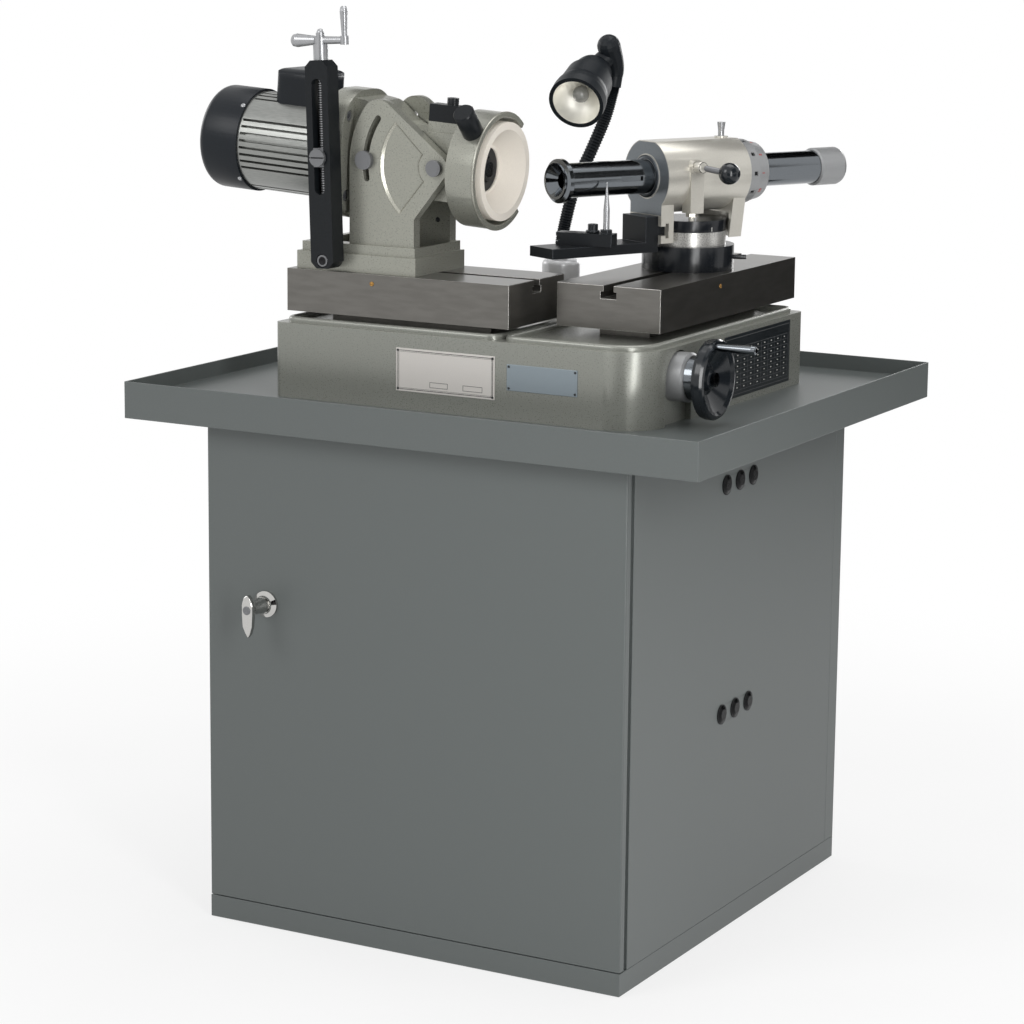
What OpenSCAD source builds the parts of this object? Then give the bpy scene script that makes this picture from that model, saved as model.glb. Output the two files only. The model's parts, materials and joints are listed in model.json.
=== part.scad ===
// Tool and cutter grinder on a sheet steel cabinet
// Millimetres. +X runs right along the front, +Y to the back, +Z up.
// The origin is on the floor under the middle of the cabinet.

/* [Cabinet] */
// Width over the side panels
cabinet_w = 604; // [560:1:660]
// Depth from the door's face to the back panel
cabinet_d = 656; // [600:1:690]
// Thickness of the folded sheet
sheet_t = 2; // [1.5:0.5:3]
// Height of the plinth
plinth_h = 29.5; // [24:0.5:60]
// Width of the flange folded in round the plinth's top
plinth_flange = 28; // [24:1:60]
// How far the back panel wraps round the sides
back_wrap = 28; // [15:1:60]
// Width of the stiles of the front frame
stile_w = 38; // [30:1:60]
// Diameter of the blanking plugs in the right side
plug_d = 26; // [20:1:32]
// Spacing of the plugs in a row
plug_pitch = 40; // [34:1:50]
// Heights of the two rows of plugs
plug_rows = [595, 294];

/* [Door] */
// Thickness of the folded door
door_t = 18; // [16:1:26]
// Gap between the door and what is above and below it
door_gap = 1.5; // [1:0.5:4]
// Diameter of the pivot pins at the hinge edge
door_pin_d = 8; // [6:0.5:9]
// Distance of the latch from the middle of the door
latch_x = 212; // [180:1:230]
// Height of the latch
latch_z = 433; // [300:1:520]
// Diameter of the latch rosette
rosette_d = 34; // [28:1:42]
// Length of the latch wing below and above the spindle
wing_down = 36; // [28:1:44]
// Length of the latch wing above the spindle
wing_up = 20; // [14:1:28]

/* [Tray] */
// Width of the swarf tray
tray_w = 818; // [760:1:860]
// Depth of the swarf tray
tray_d = 718; // [700:1:780]
// Height of the tray floor above the ground
tray_z = 687; // [640:1:760]
// Height of the rim above the tray floor
rim_up = 21; // [12:1:40]
// Height of the skirt below the tray floor
rim_down = 27; // [15:1:40]

/* [Machine base] */
// Left and right ends of the base casting
base_x = [-253, 281];
// Front and back faces of the base casting
base_y = [-244, 223];
// Height of the deck above the tray floor
deck_h = 97; // [84:1:110]
// Wall thickness of the casting
cast_wall = 14; // [10:1:18]
// Radius of the front right corner
base_r = 58; // [30:1:70]
// Radius of the other corners
base_small_r = 8; // [4:1:16]
// Width of the bead round the deck wells
bead_w = 8; // [6:0.5:12]
// Height of the bead
bead_h = 7; // [5:0.5:10]

/* [Tables] */
// Height of a table block
table_h = 55; // [45:1:65]
// Width of both tables
table_w = 145; // [130:1:150]
// Space between the deck and the tables
table_gap = 13; // [12:1:22]
// Length of the left table
left_len = 327; // [300:1:340]
// Middle of the left table along X
left_mid = -83.5; // [-92:0.5:-76]
// Length of the right table
right_len = 406; // [380:1:430]
// Middle of the right table along Y
right_mid = 47; // [40:1:55]
// Width of the T-slot's neck
slot_neck = 14; // [12:0.5:16]
// Depth of the T-slot's neck
slot_neck_h = 8; // [6:0.5:10]
// Width of the T-slot's head
slot_head = 22; // [20:0.5:26]
// Height of the T-slot's head
slot_head_h = 8.5; // [7:0.5:10]
// Widths of the dovetail rail at its foot and at its top
rail_w = [70, 84];
// Height of the dovetail
dovetail_h = 12; // [9:1:15]
// Wall that closes a dovetail groove at the table's visible end
end_wall = 5; // [4:0.5:7]

/* [Cross feed] */
// Depth of the wheel axis, cross feed screw and left slide along Y
wheel_y = -152; // [-155:0.5:-149]
// Depth of the feed screw below the deck
screw_drop = 38; // [30:1:40]
// Diameter of the feed screw
screw_d = 14; // [12:0.5:16]
// Diameter of the handwheel
handwheel_d = 100; // [90:1:110]
// Diameter of the handwheel's bearing boss
boss_d = 62; // [56:1:66]
// Diameter of the graduated collar
collar_d = 55; // [48:1:60]
// Length of the handwheel's handle
grip_len = 53; // [40:1:65]

/* [Wheel head] */
// Place of the tilt pivot along X
pivot_x = -39; // [-42:0.5:-36]
// Height of the tilt pivot above the left table
pivot_h = 137.5; // [130:0.5:145]
// Tilt of the head as it stands, motor end up
head_tilt = 3.5; // [0:0.5:8]
// Distance between the pedestal's cheeks
cheek_space = 76; // [70:1:80]
// Thickness of a cheek
cheek_t = 15; // [12:1:18]
// Radius of the clamping slot about the pivot
slot_r = 101.5; // [98:0.5:104]
// First and last angle of the clamping slot
slot_angles = [145, 190];
// Width of the clamping slot
clamp_slot_w = 8.6; // [8:0.1:10]
// Diameter of the motor body over its fins
motor_d = 128; // [120:1:132]
// Diameter of the fan cover
fan_cover_d = 134; // [126:1:140]
// Length of the finned motor body
motor_len = 136; // [120:1:150]
// Length of the fan cover past the motor body
fan_cover_len = 54; // [48:1:60]
// Number of cooling fins
fins = 44; // [24:2:48]
// Thickness of a cooling fin
fin_w = 5.8; // [3:0.2:6.4]
// Width of the four plain pads between the fins
motor_pad_w = 30; // [20:1:36]
// Width of the motor flange along Y
flange_w = 126; // [120:1:127]
// Height of the motor flange
flange_h = 166; // [160:1:172]
// Diameter of the rotor shaft
shaft_d = 19; // [16:0.5:22]

/* [Grinding wheel] */
// Outer diameter of the cup wheel
wheel_d = 125; // [115:1:128]
// Width of the grinding rim
wheel_rim = 9.5; // [7:0.5:14]
// Overall length of the cup wheel
wheel_len = 35; // [32:1:40]
// Depth of the cup
cup_depth = 26; // [18:1:28]
// Bore of the cup wheel, which its steel hub fills
wheel_bore_d = 56; // [50:1:62]
// Outer diameter of the wheel guard
guard_d = 148; // [146:1:156]
// Thickness of the guard's wall
guard_t = 6; // [4:0.5:8]
// Angles where the guard is open, from the back
guard_open = [-48, 49];

/* [Tilt adjuster] */
// Width of the adjuster bar
bar_w = 33; // [30:1:36]
// Depth of the adjuster bar
bar_t = 26; // [24:1:28]
// Lean of the bar to the left
bar_lean = 2.1; // [1:0.1:4]
// Height of the nut above the bar's lower pivot
nut_up = 131; // [125:1:137]
// Height of the bar above its lower pivot
bar_up = 253; // [250:1:270]
// Diameter of the adjuster screw
adjust_d = 10; // [8:0.5:11]
// Reach of the crank's handle
crank_r = 36; // [32:1:36]
// Reach of the crank's thick arm
crank_back = 41; // [34:1:41]

/* [Workhead] */
// Swivel centre along X, which is also the middle of the right table
work_x = 183.5; // [181:0.5:186]
// Swivel centre along Y
work_y = 68; // [62:1:74]
// Angle of the spindle away from the long way of the right table
work_angle = 26; // [22:0.5:28]
// Height of the spindle above the right table
spindle_h = 122; // [118:1:128]
// Diameter of the swivel base
swivel_d = 120; // [112:1:124]
// Height of the swivel base
swivel_h = 32; // [28:1:36]
// Diameter of the graduated ring and the swivel plate
dial_d = 98; // [92:1:98]
// Height of the graduated ring
dial_h = 18; // [14:1:20]
// Thickness of the swivel plate
plate_h = 15; // [14:1:18]
// Radius of the workhead body
body_r = 48; // [46:0.5:51]
// Front and back ends of the workhead body
body_s = [70, -65];
// Diameter of the spindle tube
spindle_d = 44; // [40:0.5:46]
// Reach of the spindle's nose and tail
spindle_s = [203, -205];
// Diameter of the nose flange
nose_d = 56; // [52:1:60]
// Diameter of the index ring
index_d = 84; // [76:1:88]
// Number of index notches
index_n = 10; // [6:1:16]
// Diameter of the drawbar knob
knob_d = 50; // [46:1:56]
// Length of the drawbar knob
knob_len = 44; // [30:1:50]

/* [Tooth rest] */
// Width of the bracket's arm
arm_w = 50; // [44:1:54]
// Thickness of the arm
arm_t = 13; // [10:0.5:15]
// Reach of the arm's end from the swivel centre
arm_s = 236; // [215:1:242]
// Diameter of the finger
finger_d = 8; // [6:0.5:9]

/* [Lamp] */
// Diameter of the lamp's foot
lamp_foot_d = 51; // [44:1:56]
// Height of the lamp's foot above the deck
lamp_foot_h = 61; // [54:1:76]
// Outer diameter of the gooseneck over its ribs
neck_d = 18.5; // [16:0.5:20]
// Number of ribs on the gooseneck
ribs = 84; // [40:4:100]
// Diameter of the shade's rim
shade_d = 74; // [66:1:80]
// Length of the shade
shade_len = 88; // [80:1:96]

/* [Fits] */
// Radial clearance of shafts and pins
fit = 0.05; // [0.02:0.01:0.1]
// Clearance between faces that slide
slide_gap = 0.1; // [0.05:0.05:0.3]
// Clearance between parts that only pass each other
gap = 0.3; // [0.2:0.1:0.6]

/* [Hidden] */
$fn = 96;
// Overshoot of cuts past a face
eps = 1;
cab_x = cabinet_w / 2;
cab_y = cabinet_d / 2;
tray_under = tray_z - sheet_t;
door_back = -cab_y + door_t;
frame_y = door_back + 2;
door_edge_r = door_t / 2;
hinge_x = cab_x - door_edge_r;
hinge_y = -cab_y + door_edge_r;
door_z0 = plinth_h + door_gap;
door_z1 = tray_under - rim_down + sheet_t - door_gap;
pin_depth = 15;
spindle_hole_d = 10;
deck_z = tray_z + deck_h;
deck_under = deck_z - cast_wall;
table_z = deck_z + table_gap;
top_z = table_z + table_h;
screw_z = deck_z - screw_drop;
screw_r = screw_d / 2;
nut_x = -60;
nut_len = 30;
left_travel = [-40, 10];
rail_inset = end_wall - left_travel[0] + 1;
hanger_x = nut_x + left_travel[0] - nut_len / 2 - 36;
recess_depth = 8;
arch_drop = 3;
boss_x = base_x[1] + 19;
collar_x = boss_x + gap;
hub_x = collar_x + 12;
pivot_z = top_z + pivot_h;
cheek_in = cheek_space / 2;
cheek_out = cheek_in + cheek_t;
cheek_boss_r = 18;
cheek_ear_r = 24;
ped_low = 23;
ped_high = 35;
ped_x = [-237, -60];
ped_half = 62;
ped_front = wheel_y - ped_half - 2;
head_half = cheek_in - 2.5;
clamp_angle = 177;
pivot_pin_r = 8;
panel_depth = 4;
clamp_bolt_r = 4;
flange_x = [-162, -132];
flange_hole = [47, 51];
flange_r = 52;
pad_top = 56;
motor_x = flange_x[0] - motor_len;
cover_x = motor_x - fan_cover_len;
shaft_r = shaft_d / 2;
bearing_r = 20;
guard_x = [27, 68];
wheel_x = 37;
wheel_r = wheel_d / 2;
wheel_bore_r = wheel_bore_d / 2;
hub_face = wheel_x + wheel_len - cup_depth - 2;
arbor_nut_h = 5;
bar_x = -182;
bar_y = ped_front - 1 - bar_t / 2;
bar_z = top_z + 15;
bar_slot_w = 15;
bar_slot = [84, 230];
nut_h = 24;
lug_pin_d = 10;
lug_hole_d = 17;
spindle_z = top_z + spindle_h;
dial_z = top_z + swivel_h;
plate_z = dial_z + dial_h;
work_pivot_z = plate_z + plate_h / 2;
leg_z = dial_z + 6;
leg_front = dial_d / 2 + 1;
leg_back = dial_d / 2 + 9;
leg_clear = [3, 7];
rest_slot_z = leg_z + 16;
rest_slot = [12, 19];
rest_slot_depth = [7.3, 12.2];
stem_r = 12;
trunnion_r = 6;
sleeve_r = 27.5;
spindle_r = spindle_d / 2;
socket_r = 10;
socket_len = 40;
tube_bore_r = 13;
index_s = [body_s[1] - 0.4, body_s[1] - 20, body_s[1] - 38];
plunger_s = -51;
arm_z = leg_z - 11;
arm_top = arm_z + arm_t;
arm_mid = 2;
rest_back = body_s[0] + slide_gap;
rest_plate_s = rest_back + 20;
holder_at = [16, 166];
holder_dir = 33.5;
holder_h = 16;
finger_x = 18;
lamp_at = [-27, 112];
lamp_top = deck_z + lamp_foot_h;
neck_r = neck_d / 2;
// Route of the gooseneck from the foot to the boot
neck_route = [[-27, 112, 0], [-27, 112, 18], [-21, 113, 52], [-8, 114, 99],
              [14, 117, 147], [32, 121, 191], [40, 125, 224], [41.5, 126, 236]];
neck_end = neck_route[len(neck_route) - 1];
neck_dir = [3, 2, 24] / norm([3, 2, 24]);
stub_r = 4;
hose_bore_r = 2.6;
rib_depth = 1.6;
stub_len = 24;
collar_len = 10;
// Control points of the smooth boot behind the shade, and its radius at the rounded top
boot_start = neck_end + neck_dir * (collar_len + gap);
boot_route = [boot_start, boot_start + neck_dir * 14, [42, 119, 272], [41.5, 110, 286]];
boot_top_r = 15.7;
// Ends of the bridge from the shade's back into the boot
bridge = [[25, 103, 258], [42, 116, 276]];
bridge_r = 13;
shade_mid = [36, 30, 216];
shade_axis = [0.15, -0.88, -0.45];

cabinet_col = "#5c615f";
cast_col = "#9a9d92";
steel_col = "#77726b";
bright_col = "#c8c8c8";
black_col = "#24272b";
white_col = "#e9e2d8";
brass_col = "#b08d57";

// Flat outline with one large and three small corners
module corner_plate(x, y, big, small) {
    difference() {
        translate([x[0], y[0]]) square([x[1] - x[0], y[1] - y[0]]);
        translate([x[1], y[0]]) corner_cut(-1, 1, big);
        translate([x[0], y[0]]) corner_cut(1, 1, small);
        translate([x[0], y[1]]) corner_cut(1, -1, small);
        translate([x[1], y[1]]) corner_cut(-1, -1, small);
    }
}

// What is taken off a square corner to round it
module corner_cut(sx, sy, r) {
    difference() {
        translate([sx > 0 ? -eps : -r, sy > 0 ? -eps : -r]) square(r + eps);
        translate([sx * r, sy * r]) circle(r);
    }
}

module round_rect(w, h, r) {
    corner_plate([-w / 2, w / 2], [-h / 2, h / 2], r, r);
}

// Stands a flat outline up so that it faces along X
module yz_extrude(x0, x1) {
    translate([x0, 0, 0]) rotate([90, 0, 90]) linear_extrude(x1 - x0) children();
}

// Stands a flat outline up so that it faces along Y
module xz_extrude(y0, y1) {
    translate([0, y1, 0]) rotate([90, 0, 0]) linear_extrude(y1 - y0) children();
}

module rod_x(x0, x1, r) {
    translate([x0, 0, 0]) rotate([0, 90, 0]) cylinder(h = x1 - x0, r = r);
}

module rod_y(y0, y1, r) {
    translate([0, y0, 0]) rotate([-90, 0, 0]) cylinder(h = y1 - y0, r = r);
}

module tube(z0, z1, r_out, r_in) {
    translate([0, 0, z0]) difference() {
        cylinder(h = z1 - z0, r = r_out);
        translate([0, 0, -eps]) cylinder(h = z1 - z0 + 2 * eps, r = r_in);
    }
}

module block(x, y, z) {
    translate([x[0], y[0], z[0]]) cube([x[1] - x[0], y[1] - y[0], z[1] - z[0]]);
}

// Hexagon nut or head standing on the plane of its frame
module hexagon(across, h) {
    cylinder(h = h, d = across / cos(30), $fn = 6);
}

// Frames of the moving groups
module in_head() {
    translate([pivot_x, wheel_y, pivot_z]) rotate([0, head_tilt, 0]) children();
}

module in_bar() {
    translate([bar_x, bar_y, bar_z]) rotate([0, -bar_lean, 0]) children();
}

// Workhead frame: +X to the near side, -Y towards the nose
module in_work() {
    translate([work_x, work_y, 0]) rotate([0, 0, -work_angle]) children();
}

// Spindle frame: +X to the near side, +Y up, +Z towards the nose
module in_spindle() {
    in_work() translate([0, 0, spindle_z]) rotate([90, 0, 0]) children();
}

module plinth() {
    color(cabinet_col) difference() {
        block([-cab_x, cab_x], [-cab_y, cab_y], [0, plinth_h]);
        block([-cab_x + sheet_t, cab_x - sheet_t], [-cab_y + sheet_t, cab_y - sheet_t],
            [sheet_t, plinth_h - sheet_t]);
        block([-cab_x + plinth_flange, cab_x - plinth_flange],
            [-cab_y + plinth_flange, cab_y - plinth_flange], [sheet_t, plinth_h + eps]);
    }
}

module cabinet_floor() {
    color(cabinet_col) block([-cab_x + sheet_t, cab_x - sheet_t], [frame_y, cab_y - sheet_t],
        [plinth_h, plinth_h + sheet_t]);
}

module side_panel(side) {
    x = [cab_x - sheet_t, cab_x];
    block(side > 0 ? x : [-x[1], -x[0]], [frame_y, cab_y - back_wrap], [plinth_h, tray_under]);
}

module at_plugs() {
    for (z = plug_rows, i = [-1 : 1])
        translate([cab_x - sheet_t, i * plug_pitch - 10, z]) rotate([0, 90, 0]) children();
}

module left_side_panel() {
    color(cabinet_col) side_panel(-1);
}

module right_side_panel() {
    color(cabinet_col) difference() {
        side_panel(1);
        at_plugs() translate([0, 0, -eps]) cylinder(h = sheet_t + 2 * eps, d = plug_d - 4);
    }
}

module back_panel() {
    color(cabinet_col) difference() {
        block([-cab_x, cab_x], [cab_y - back_wrap, cab_y], [plinth_h, tray_under]);
        block([-cab_x + sheet_t, cab_x - sheet_t], [cab_y - back_wrap - eps, cab_y - sheet_t],
            [plinth_h - eps, tray_under + eps]);
    }
}

module front_frame() {
    color(cabinet_col) difference() {
        block([-cab_x + sheet_t, cab_x - sheet_t], [frame_y, frame_y + sheet_t],
            [plinth_h + sheet_t, tray_under]);
        block([-cab_x + stile_w, cab_x - stile_w], [frame_y - eps, frame_y + sheet_t + eps],
            [plinth_h + stile_w, tray_under - stile_w]);
    }
}

// Domed plugs, each with a stem through its hole
module hole_plugs() {
    dome = 3.5;
    color(black_col) at_plugs() {
        cylinder(h = sheet_t, d = plug_d - 4 - 0.2);
        translate([0, 0, sheet_t]) cylinder(h = 1.2, d = plug_d);
        translate([0, 0, sheet_t + 1.2]) cylinder(h = dome - 1.2, d1 = plug_d - 2, d2 = plug_d - 12);
    }
}

module swarf_tray() {
    x = tray_w / 2;
    y = tray_d / 2;
    color(cabinet_col) difference() {
        block([-x, x], [-y, y], [tray_under - rim_down + sheet_t, tray_z + rim_up]);
        block([-x + sheet_t, x - sheet_t], [-y + sheet_t, y - sheet_t], [tray_z, tray_z + rim_up + eps]);
        block([-x + sheet_t, x - sheet_t], [-y + sheet_t, y - sheet_t],
            [tray_under - rim_down, tray_under]);
    }
}

// Two pins on which the door turns, one on the plinth and one under the tray
module door_pins() {
    color(bright_col) translate([hinge_x, hinge_y, 0]) {
        translate([0, 0, plinth_h]) cylinder(h = door_z0 - plinth_h + pin_depth - 1, d = door_pin_d);
        translate([0, 0, door_z1 - pin_depth + 1])
            cylinder(h = tray_under - door_z1 + pin_depth - 1, d = door_pin_d);
    }
}

// Folded door with a solid hinge edge that is rounded about the pins
module door_panel() {
    x0 = -cab_x + 1;
    color(cabinet_col) difference() {
        translate([0, 0, door_z0]) linear_extrude(door_z1 - door_z0) {
            translate([x0, -cab_y]) square([hinge_x - x0, door_t]);
            translate([hinge_x, hinge_y]) circle(door_edge_r);
            difference() {
                translate([hinge_x, -cab_y]) square([door_edge_r, door_edge_r]);
                translate([hinge_x + door_edge_r, -cab_y]) corner_cut(-1, 1, 2);
            }
        }
        block([x0 + sheet_t, hinge_x - 12], [-cab_y + sheet_t, door_back + eps],
            [door_z0 + sheet_t, door_z1 - sheet_t]);
        for (z = [door_z0 - eps, door_z1 - pin_depth])
            translate([hinge_x, hinge_y, z]) cylinder(h = pin_depth + eps, d = door_pin_d + 2 * fit);
        translate([-latch_x, -cab_y - eps, latch_z]) rod_y(0, sheet_t + 2 * eps, spindle_hole_d / 2 + fit);
    }
}

module latch_rosette() {
    color(bright_col) translate([-latch_x, -cab_y, latch_z]) rotate([90, 0, 0]) difference() {
        rotate_extrude() polygon([[0, 0], [rosette_d / 2, 0], [rosette_d / 2, 4], [rosette_d / 2 - 5, 8],
            [11, 10], [0, 10]]);
        translate([0, 0, -eps]) cylinder(h = 12, d = spindle_hole_d + 2 * fit);
    }
}

// Spindle, neck and flat wing with rounded ends
module latch_handle() {
    neck_y = -cab_y - 10 - gap;
    wing_y = neck_y - 28;
    cam_y = frame_y + sheet_t + 9;
    color(bright_col) translate([-latch_x, 0, latch_z]) {
        rod_y(wing_y, cam_y, spindle_hole_d / 2);
        rod_y(wing_y, neck_y, 8);
        xz_extrude(wing_y - 8, wing_y) {
            translate([-7, -wing_down + 7]) square([14, wing_up + wing_down - 14]);
            translate([0, -wing_down + 7]) circle(7);
            translate([0, wing_up - 7]) circle(7);
            circle(9);
        }
    }
}

// Cam behind the door, hanging clear of the frame until the wing is turned
module latch_cam() {
    cam_y = frame_y + sheet_t + 2;
    reach = cab_x - latch_x - stile_w + 12;
    color(bright_col) translate([-latch_x, 0, latch_z]) difference() {
        xz_extrude(cam_y, cam_y + 4) {
            translate([-10, -reach]) square([20, reach]);
            circle(13);
        }
        rod_y(cam_y - eps, cam_y + 4 + eps, spindle_hole_d / 2);
    }
}

// Rounded bead along a closed loop with one large corner
module bead_loop(x, y, big, small) {
    module profile() {
        translate([-bead_w / 2, 0]) square([bead_w, bead_h - bead_w / 2]);
        intersection() {
            translate([0, bead_h - bead_w / 2]) circle(bead_w / 2);
            translate([-bead_w, 0]) square([2 * bead_w, bead_h]);
        }
    }
    module run_x(xa, xb, at) {
        translate([xa, at, 0]) rotate([90, 0, 90]) linear_extrude(xb - xa) profile();
    }
    module run_y(ya, yb, at) {
        translate([at, yb, 0]) rotate([90, 0, 0]) linear_extrude(yb - ya) profile();
    }
    module turn(cx, cy, a, r) {
        translate([cx, cy, 0]) rotate([0, 0, a]) rotate_extrude(angle = 90) translate([r, 0]) profile();
    }
    run_x(x[0] + small, x[1] - big, y[0]);
    run_x(x[0] + small, x[1] - small, y[1]);
    run_y(y[0] + small, y[1] - small, x[0]);
    run_y(y[0] + big, y[1] - small, x[1]);
    turn(x[1] - big, y[0] + big, 270, big);
    turn(x[0] + small, y[0] + small, 180, small);
    turn(x[0] + small, y[1] - small, 90, small);
    turn(x[1] - small, y[1] - small, 0, small);
}

// Slot that the feed nut travels in, through the rail and the deck
module nut_slot() {
    block([nut_x - nut_len / 2 + left_travel[0] - 3, nut_x + nut_len / 2 + left_travel[1] + 3],
        [wheel_y - 15, wheel_y + 15], [deck_under - eps, table_z + dovetail_h + eps]);
}

// Box casting, open below, with two wells on its deck and an arched recess for the handwheel
module base_casting() {
    edge = 12;
    split = [66, 80];
    arch_r = boss_d / 2 + arch_drop + 2;
    color(cast_col) difference() {
        union() {
            translate([0, 0, tray_z]) linear_extrude(deck_h) corner_plate(base_x, base_y, base_r, base_small_r);
            translate([0, 0, deck_z]) {
                bead_loop([base_x[0] + edge, split[0]], [base_y[0] + edge, base_y[1] - edge], 14, 14);
                bead_loop([split[1], base_x[1] - edge], [base_y[0] + edge, base_y[1] - edge],
                    base_r - edge, 14);
            }
        }
        translate([0, 0, tray_z - eps]) linear_extrude(deck_h - cast_wall + eps)
            corner_plate([base_x[0] + cast_wall, base_x[1] - cast_wall - recess_depth],
                [base_y[0] + cast_wall, base_y[1] - cast_wall], base_r - cast_wall, 6);
        yz_extrude(base_x[1] - recess_depth, base_x[1] + eps) {
            translate([wheel_y, screw_z - arch_drop]) circle(arch_r);
            translate([wheel_y - arch_r, tray_z - eps]) square([2 * arch_r, screw_z - arch_drop - tray_z + eps]);
        }
        translate([0, wheel_y, screw_z]) rod_x(base_x[1] - cast_wall - recess_depth - eps, base_x[1], 20);
        nut_slot();
    }
}

// Section of a slide rail about its middle, foot on the deck
module rail_section(extra) {
    neck = table_gap;
    polygon([[-rail_w[0] / 2 - extra, 0], [rail_w[0] / 2 + extra, 0],
        [rail_w[0] / 2 + extra, neck], [rail_w[1] / 2 + extra, neck + dovetail_h + extra],
        [-rail_w[1] / 2 - extra, neck + dovetail_h + extra], [-rail_w[0] / 2 - extra, neck]]);
}

// Dovetail rails of both slides, each shorter than its table by the travel at either end
module slide_rails() {
    color(steel_col) {
        difference() {
            translate([0, wheel_y, deck_z])
                yz_extrude(left_mid - left_len / 2 + rail_inset, left_mid + left_len / 2 - rail_inset) rail_section(0);
            nut_slot();
        }
        translate([work_x, 0, deck_z])
            xz_extrude(right_mid - right_len / 2 + rail_inset, right_mid + right_len / 2 - rail_inset) rail_section(0);
    }
}

module screw_hanger() {
    color(cast_col) translate([0, wheel_y, 0]) difference() {
        block([hanger_x, hanger_x + 18], [-18, 18], [screw_z - 18, deck_under]);
        translate([0, 0, screw_z]) rod_x(hanger_x - eps, hanger_x + 18 + eps, screw_r + fit);
    }
}

// Bearing boss in the recess, with a stem through the casting's wall
module screw_boss() {
    color(cast_col) translate([0, wheel_y, screw_z]) difference() {
        union() {
            rod_x(base_x[1] - recess_depth, boss_x - 3, boss_d / 2);
            translate([boss_x - 3, 0, 0]) rotate([0, 90, 0])
                cylinder(h = 3, r1 = boss_d / 2, r2 = boss_d / 2 - 3);
            rod_x(base_x[1] - recess_depth - cast_wall, base_x[1] - recess_depth, 19.95);
        }
        rod_x(base_x[0], boss_x + eps, screw_r + fit);
    }
}

module feed_screw() {
    color(bright_col) translate([0, wheel_y, screw_z]) {
        rod_x(hanger_x - 4, hub_x + 16, screw_r);
        rod_x(hub_x + 16, hub_x + 20, 9);
    }
}

module graduated_collar() {
    color(bright_col) translate([collar_x, wheel_y, screw_z]) rotate([0, 90, 0])
        tube(0, hub_x - collar_x, collar_d / 2, screw_r);
}

// Dished handwheel with a boss for the handle near its rim
grip_at = [-10, 42];
module handwheel() {
    r = handwheel_d / 2;
    color(black_col) translate([hub_x, wheel_y, screw_z]) difference() {
        union() {
            rotate([0, 90, 0]) rotate_extrude() polygon([[screw_r, 0], [20, 0], [r - 6, 6], [r - 1, 9],
                [r, 13], [r, 20], [r - 2, 23], [r - 6, 24], [r - 10, 20], [20, 7], [15, 8], [13, 14],
                [screw_r, 16]]);
            translate([0, grip_at[0], grip_at[1]]) rod_x(9, 23, 6.5);
        }
        translate([0, grip_at[0], grip_at[1]]) rod_x(12, 30, 3 + fit);
    }
}

// Tapered handle that turns on its own pin
module handwheel_grip() {
    color(bright_col) translate([hub_x + 12.5, wheel_y + grip_at[0], screw_z + grip_at[1]])
        rotate([0, 90, 0]) {
            cylinder(h = 12, r = 3);
            translate([0, 0, 12]) rotate_extrude() polygon([[0, 0], [4, 0], [4.6, 3], [5.6, grip_len - 6],
                [5, grip_len - 1], [3, grip_len], [0, grip_len]]);
        }
}

// T-slot section, mouth at the top
module t_slot_section() {
    translate([-slot_neck / 2, -slot_neck_h - eps]) square([slot_neck, slot_neck_h + 2 * eps]);
    translate([-slot_head / 2, -slot_neck_h - slot_head_h]) square([slot_head, slot_head_h]);
}

module left_table() {
    x = [left_mid - left_len / 2, left_mid + left_len / 2];
    color(steel_col) translate([0, wheel_y, 0]) difference() {
        block(x, [-table_w / 2, table_w / 2], [table_z, top_z]);
        translate([0, 0, top_z]) yz_extrude(x[0] - eps, x[1] + eps) t_slot_section();
        translate([0, 0, deck_z]) yz_extrude(x[0] - eps, x[1] - end_wall) rail_section(slide_gap);
    }
}

// Bronze nut hanging from the left table
module feed_nut() {
    color(brass_col) translate([nut_x, wheel_y, 0]) difference() {
        block([-nut_len / 2, nut_len / 2], [-12, 12], [screw_z - 14, table_z + dovetail_h + slide_gap]);
        translate([0, 0, screw_z]) rod_x(-nut_len, nut_len, screw_r + fit);
    }
}

// Point on a circle, and the tangent points that the cheek's outline needs
function on_circle(c, r, a) = [c[0] + r * cos(a), c[1] + r * sin(a)];
function aim(a, b) = atan2(b[1] - a[1], b[0] - a[0]);
function reach(a, b) = norm([b[0] - a[0], b[1] - a[1]]);
cheek_pivot = [pivot_x, pivot_z];
cheek_ear = on_circle(cheek_pivot, slot_r, slot_angles[0]);
cheek_left = pivot_x - slot_r - cheek_ear_r;
cheek_right = ped_x[1] - 9;
cheek_knee = [cheek_right, top_z + 71];

module cheek_outline() {
    ear_out = on_circle(cheek_pivot, slot_r * 1.4, slot_angles[0]);
    upper = slot_angles[0] - 90 - asin((cheek_ear_r - cheek_boss_r) / slot_r);
    lower = aim(cheek_pivot, cheek_knee) + acos(cheek_boss_r / reach(cheek_pivot, cheek_knee));
    foot = top_z + ped_high - eps;
    translate(cheek_pivot) circle(cheek_boss_r);
    translate(cheek_ear) circle(cheek_ear_r);
    polygon([cheek_pivot, on_circle(cheek_pivot, cheek_boss_r, upper),
        on_circle(cheek_ear, cheek_ear_r, upper), cheek_ear]);
    intersection() {
        union() {
            translate(cheek_pivot) circle(slot_r + cheek_ear_r);
            translate([cheek_left, foot]) square([cheek_right - cheek_left, pivot_z - foot]);
        }
        polygon([cheek_pivot, ear_out, [cheek_left - 40, ear_out[1]], [cheek_left - 40, foot],
            [cheek_right, foot], cheek_knee, on_circle(cheek_pivot, cheek_boss_r, lower)]);
    }
}

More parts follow.
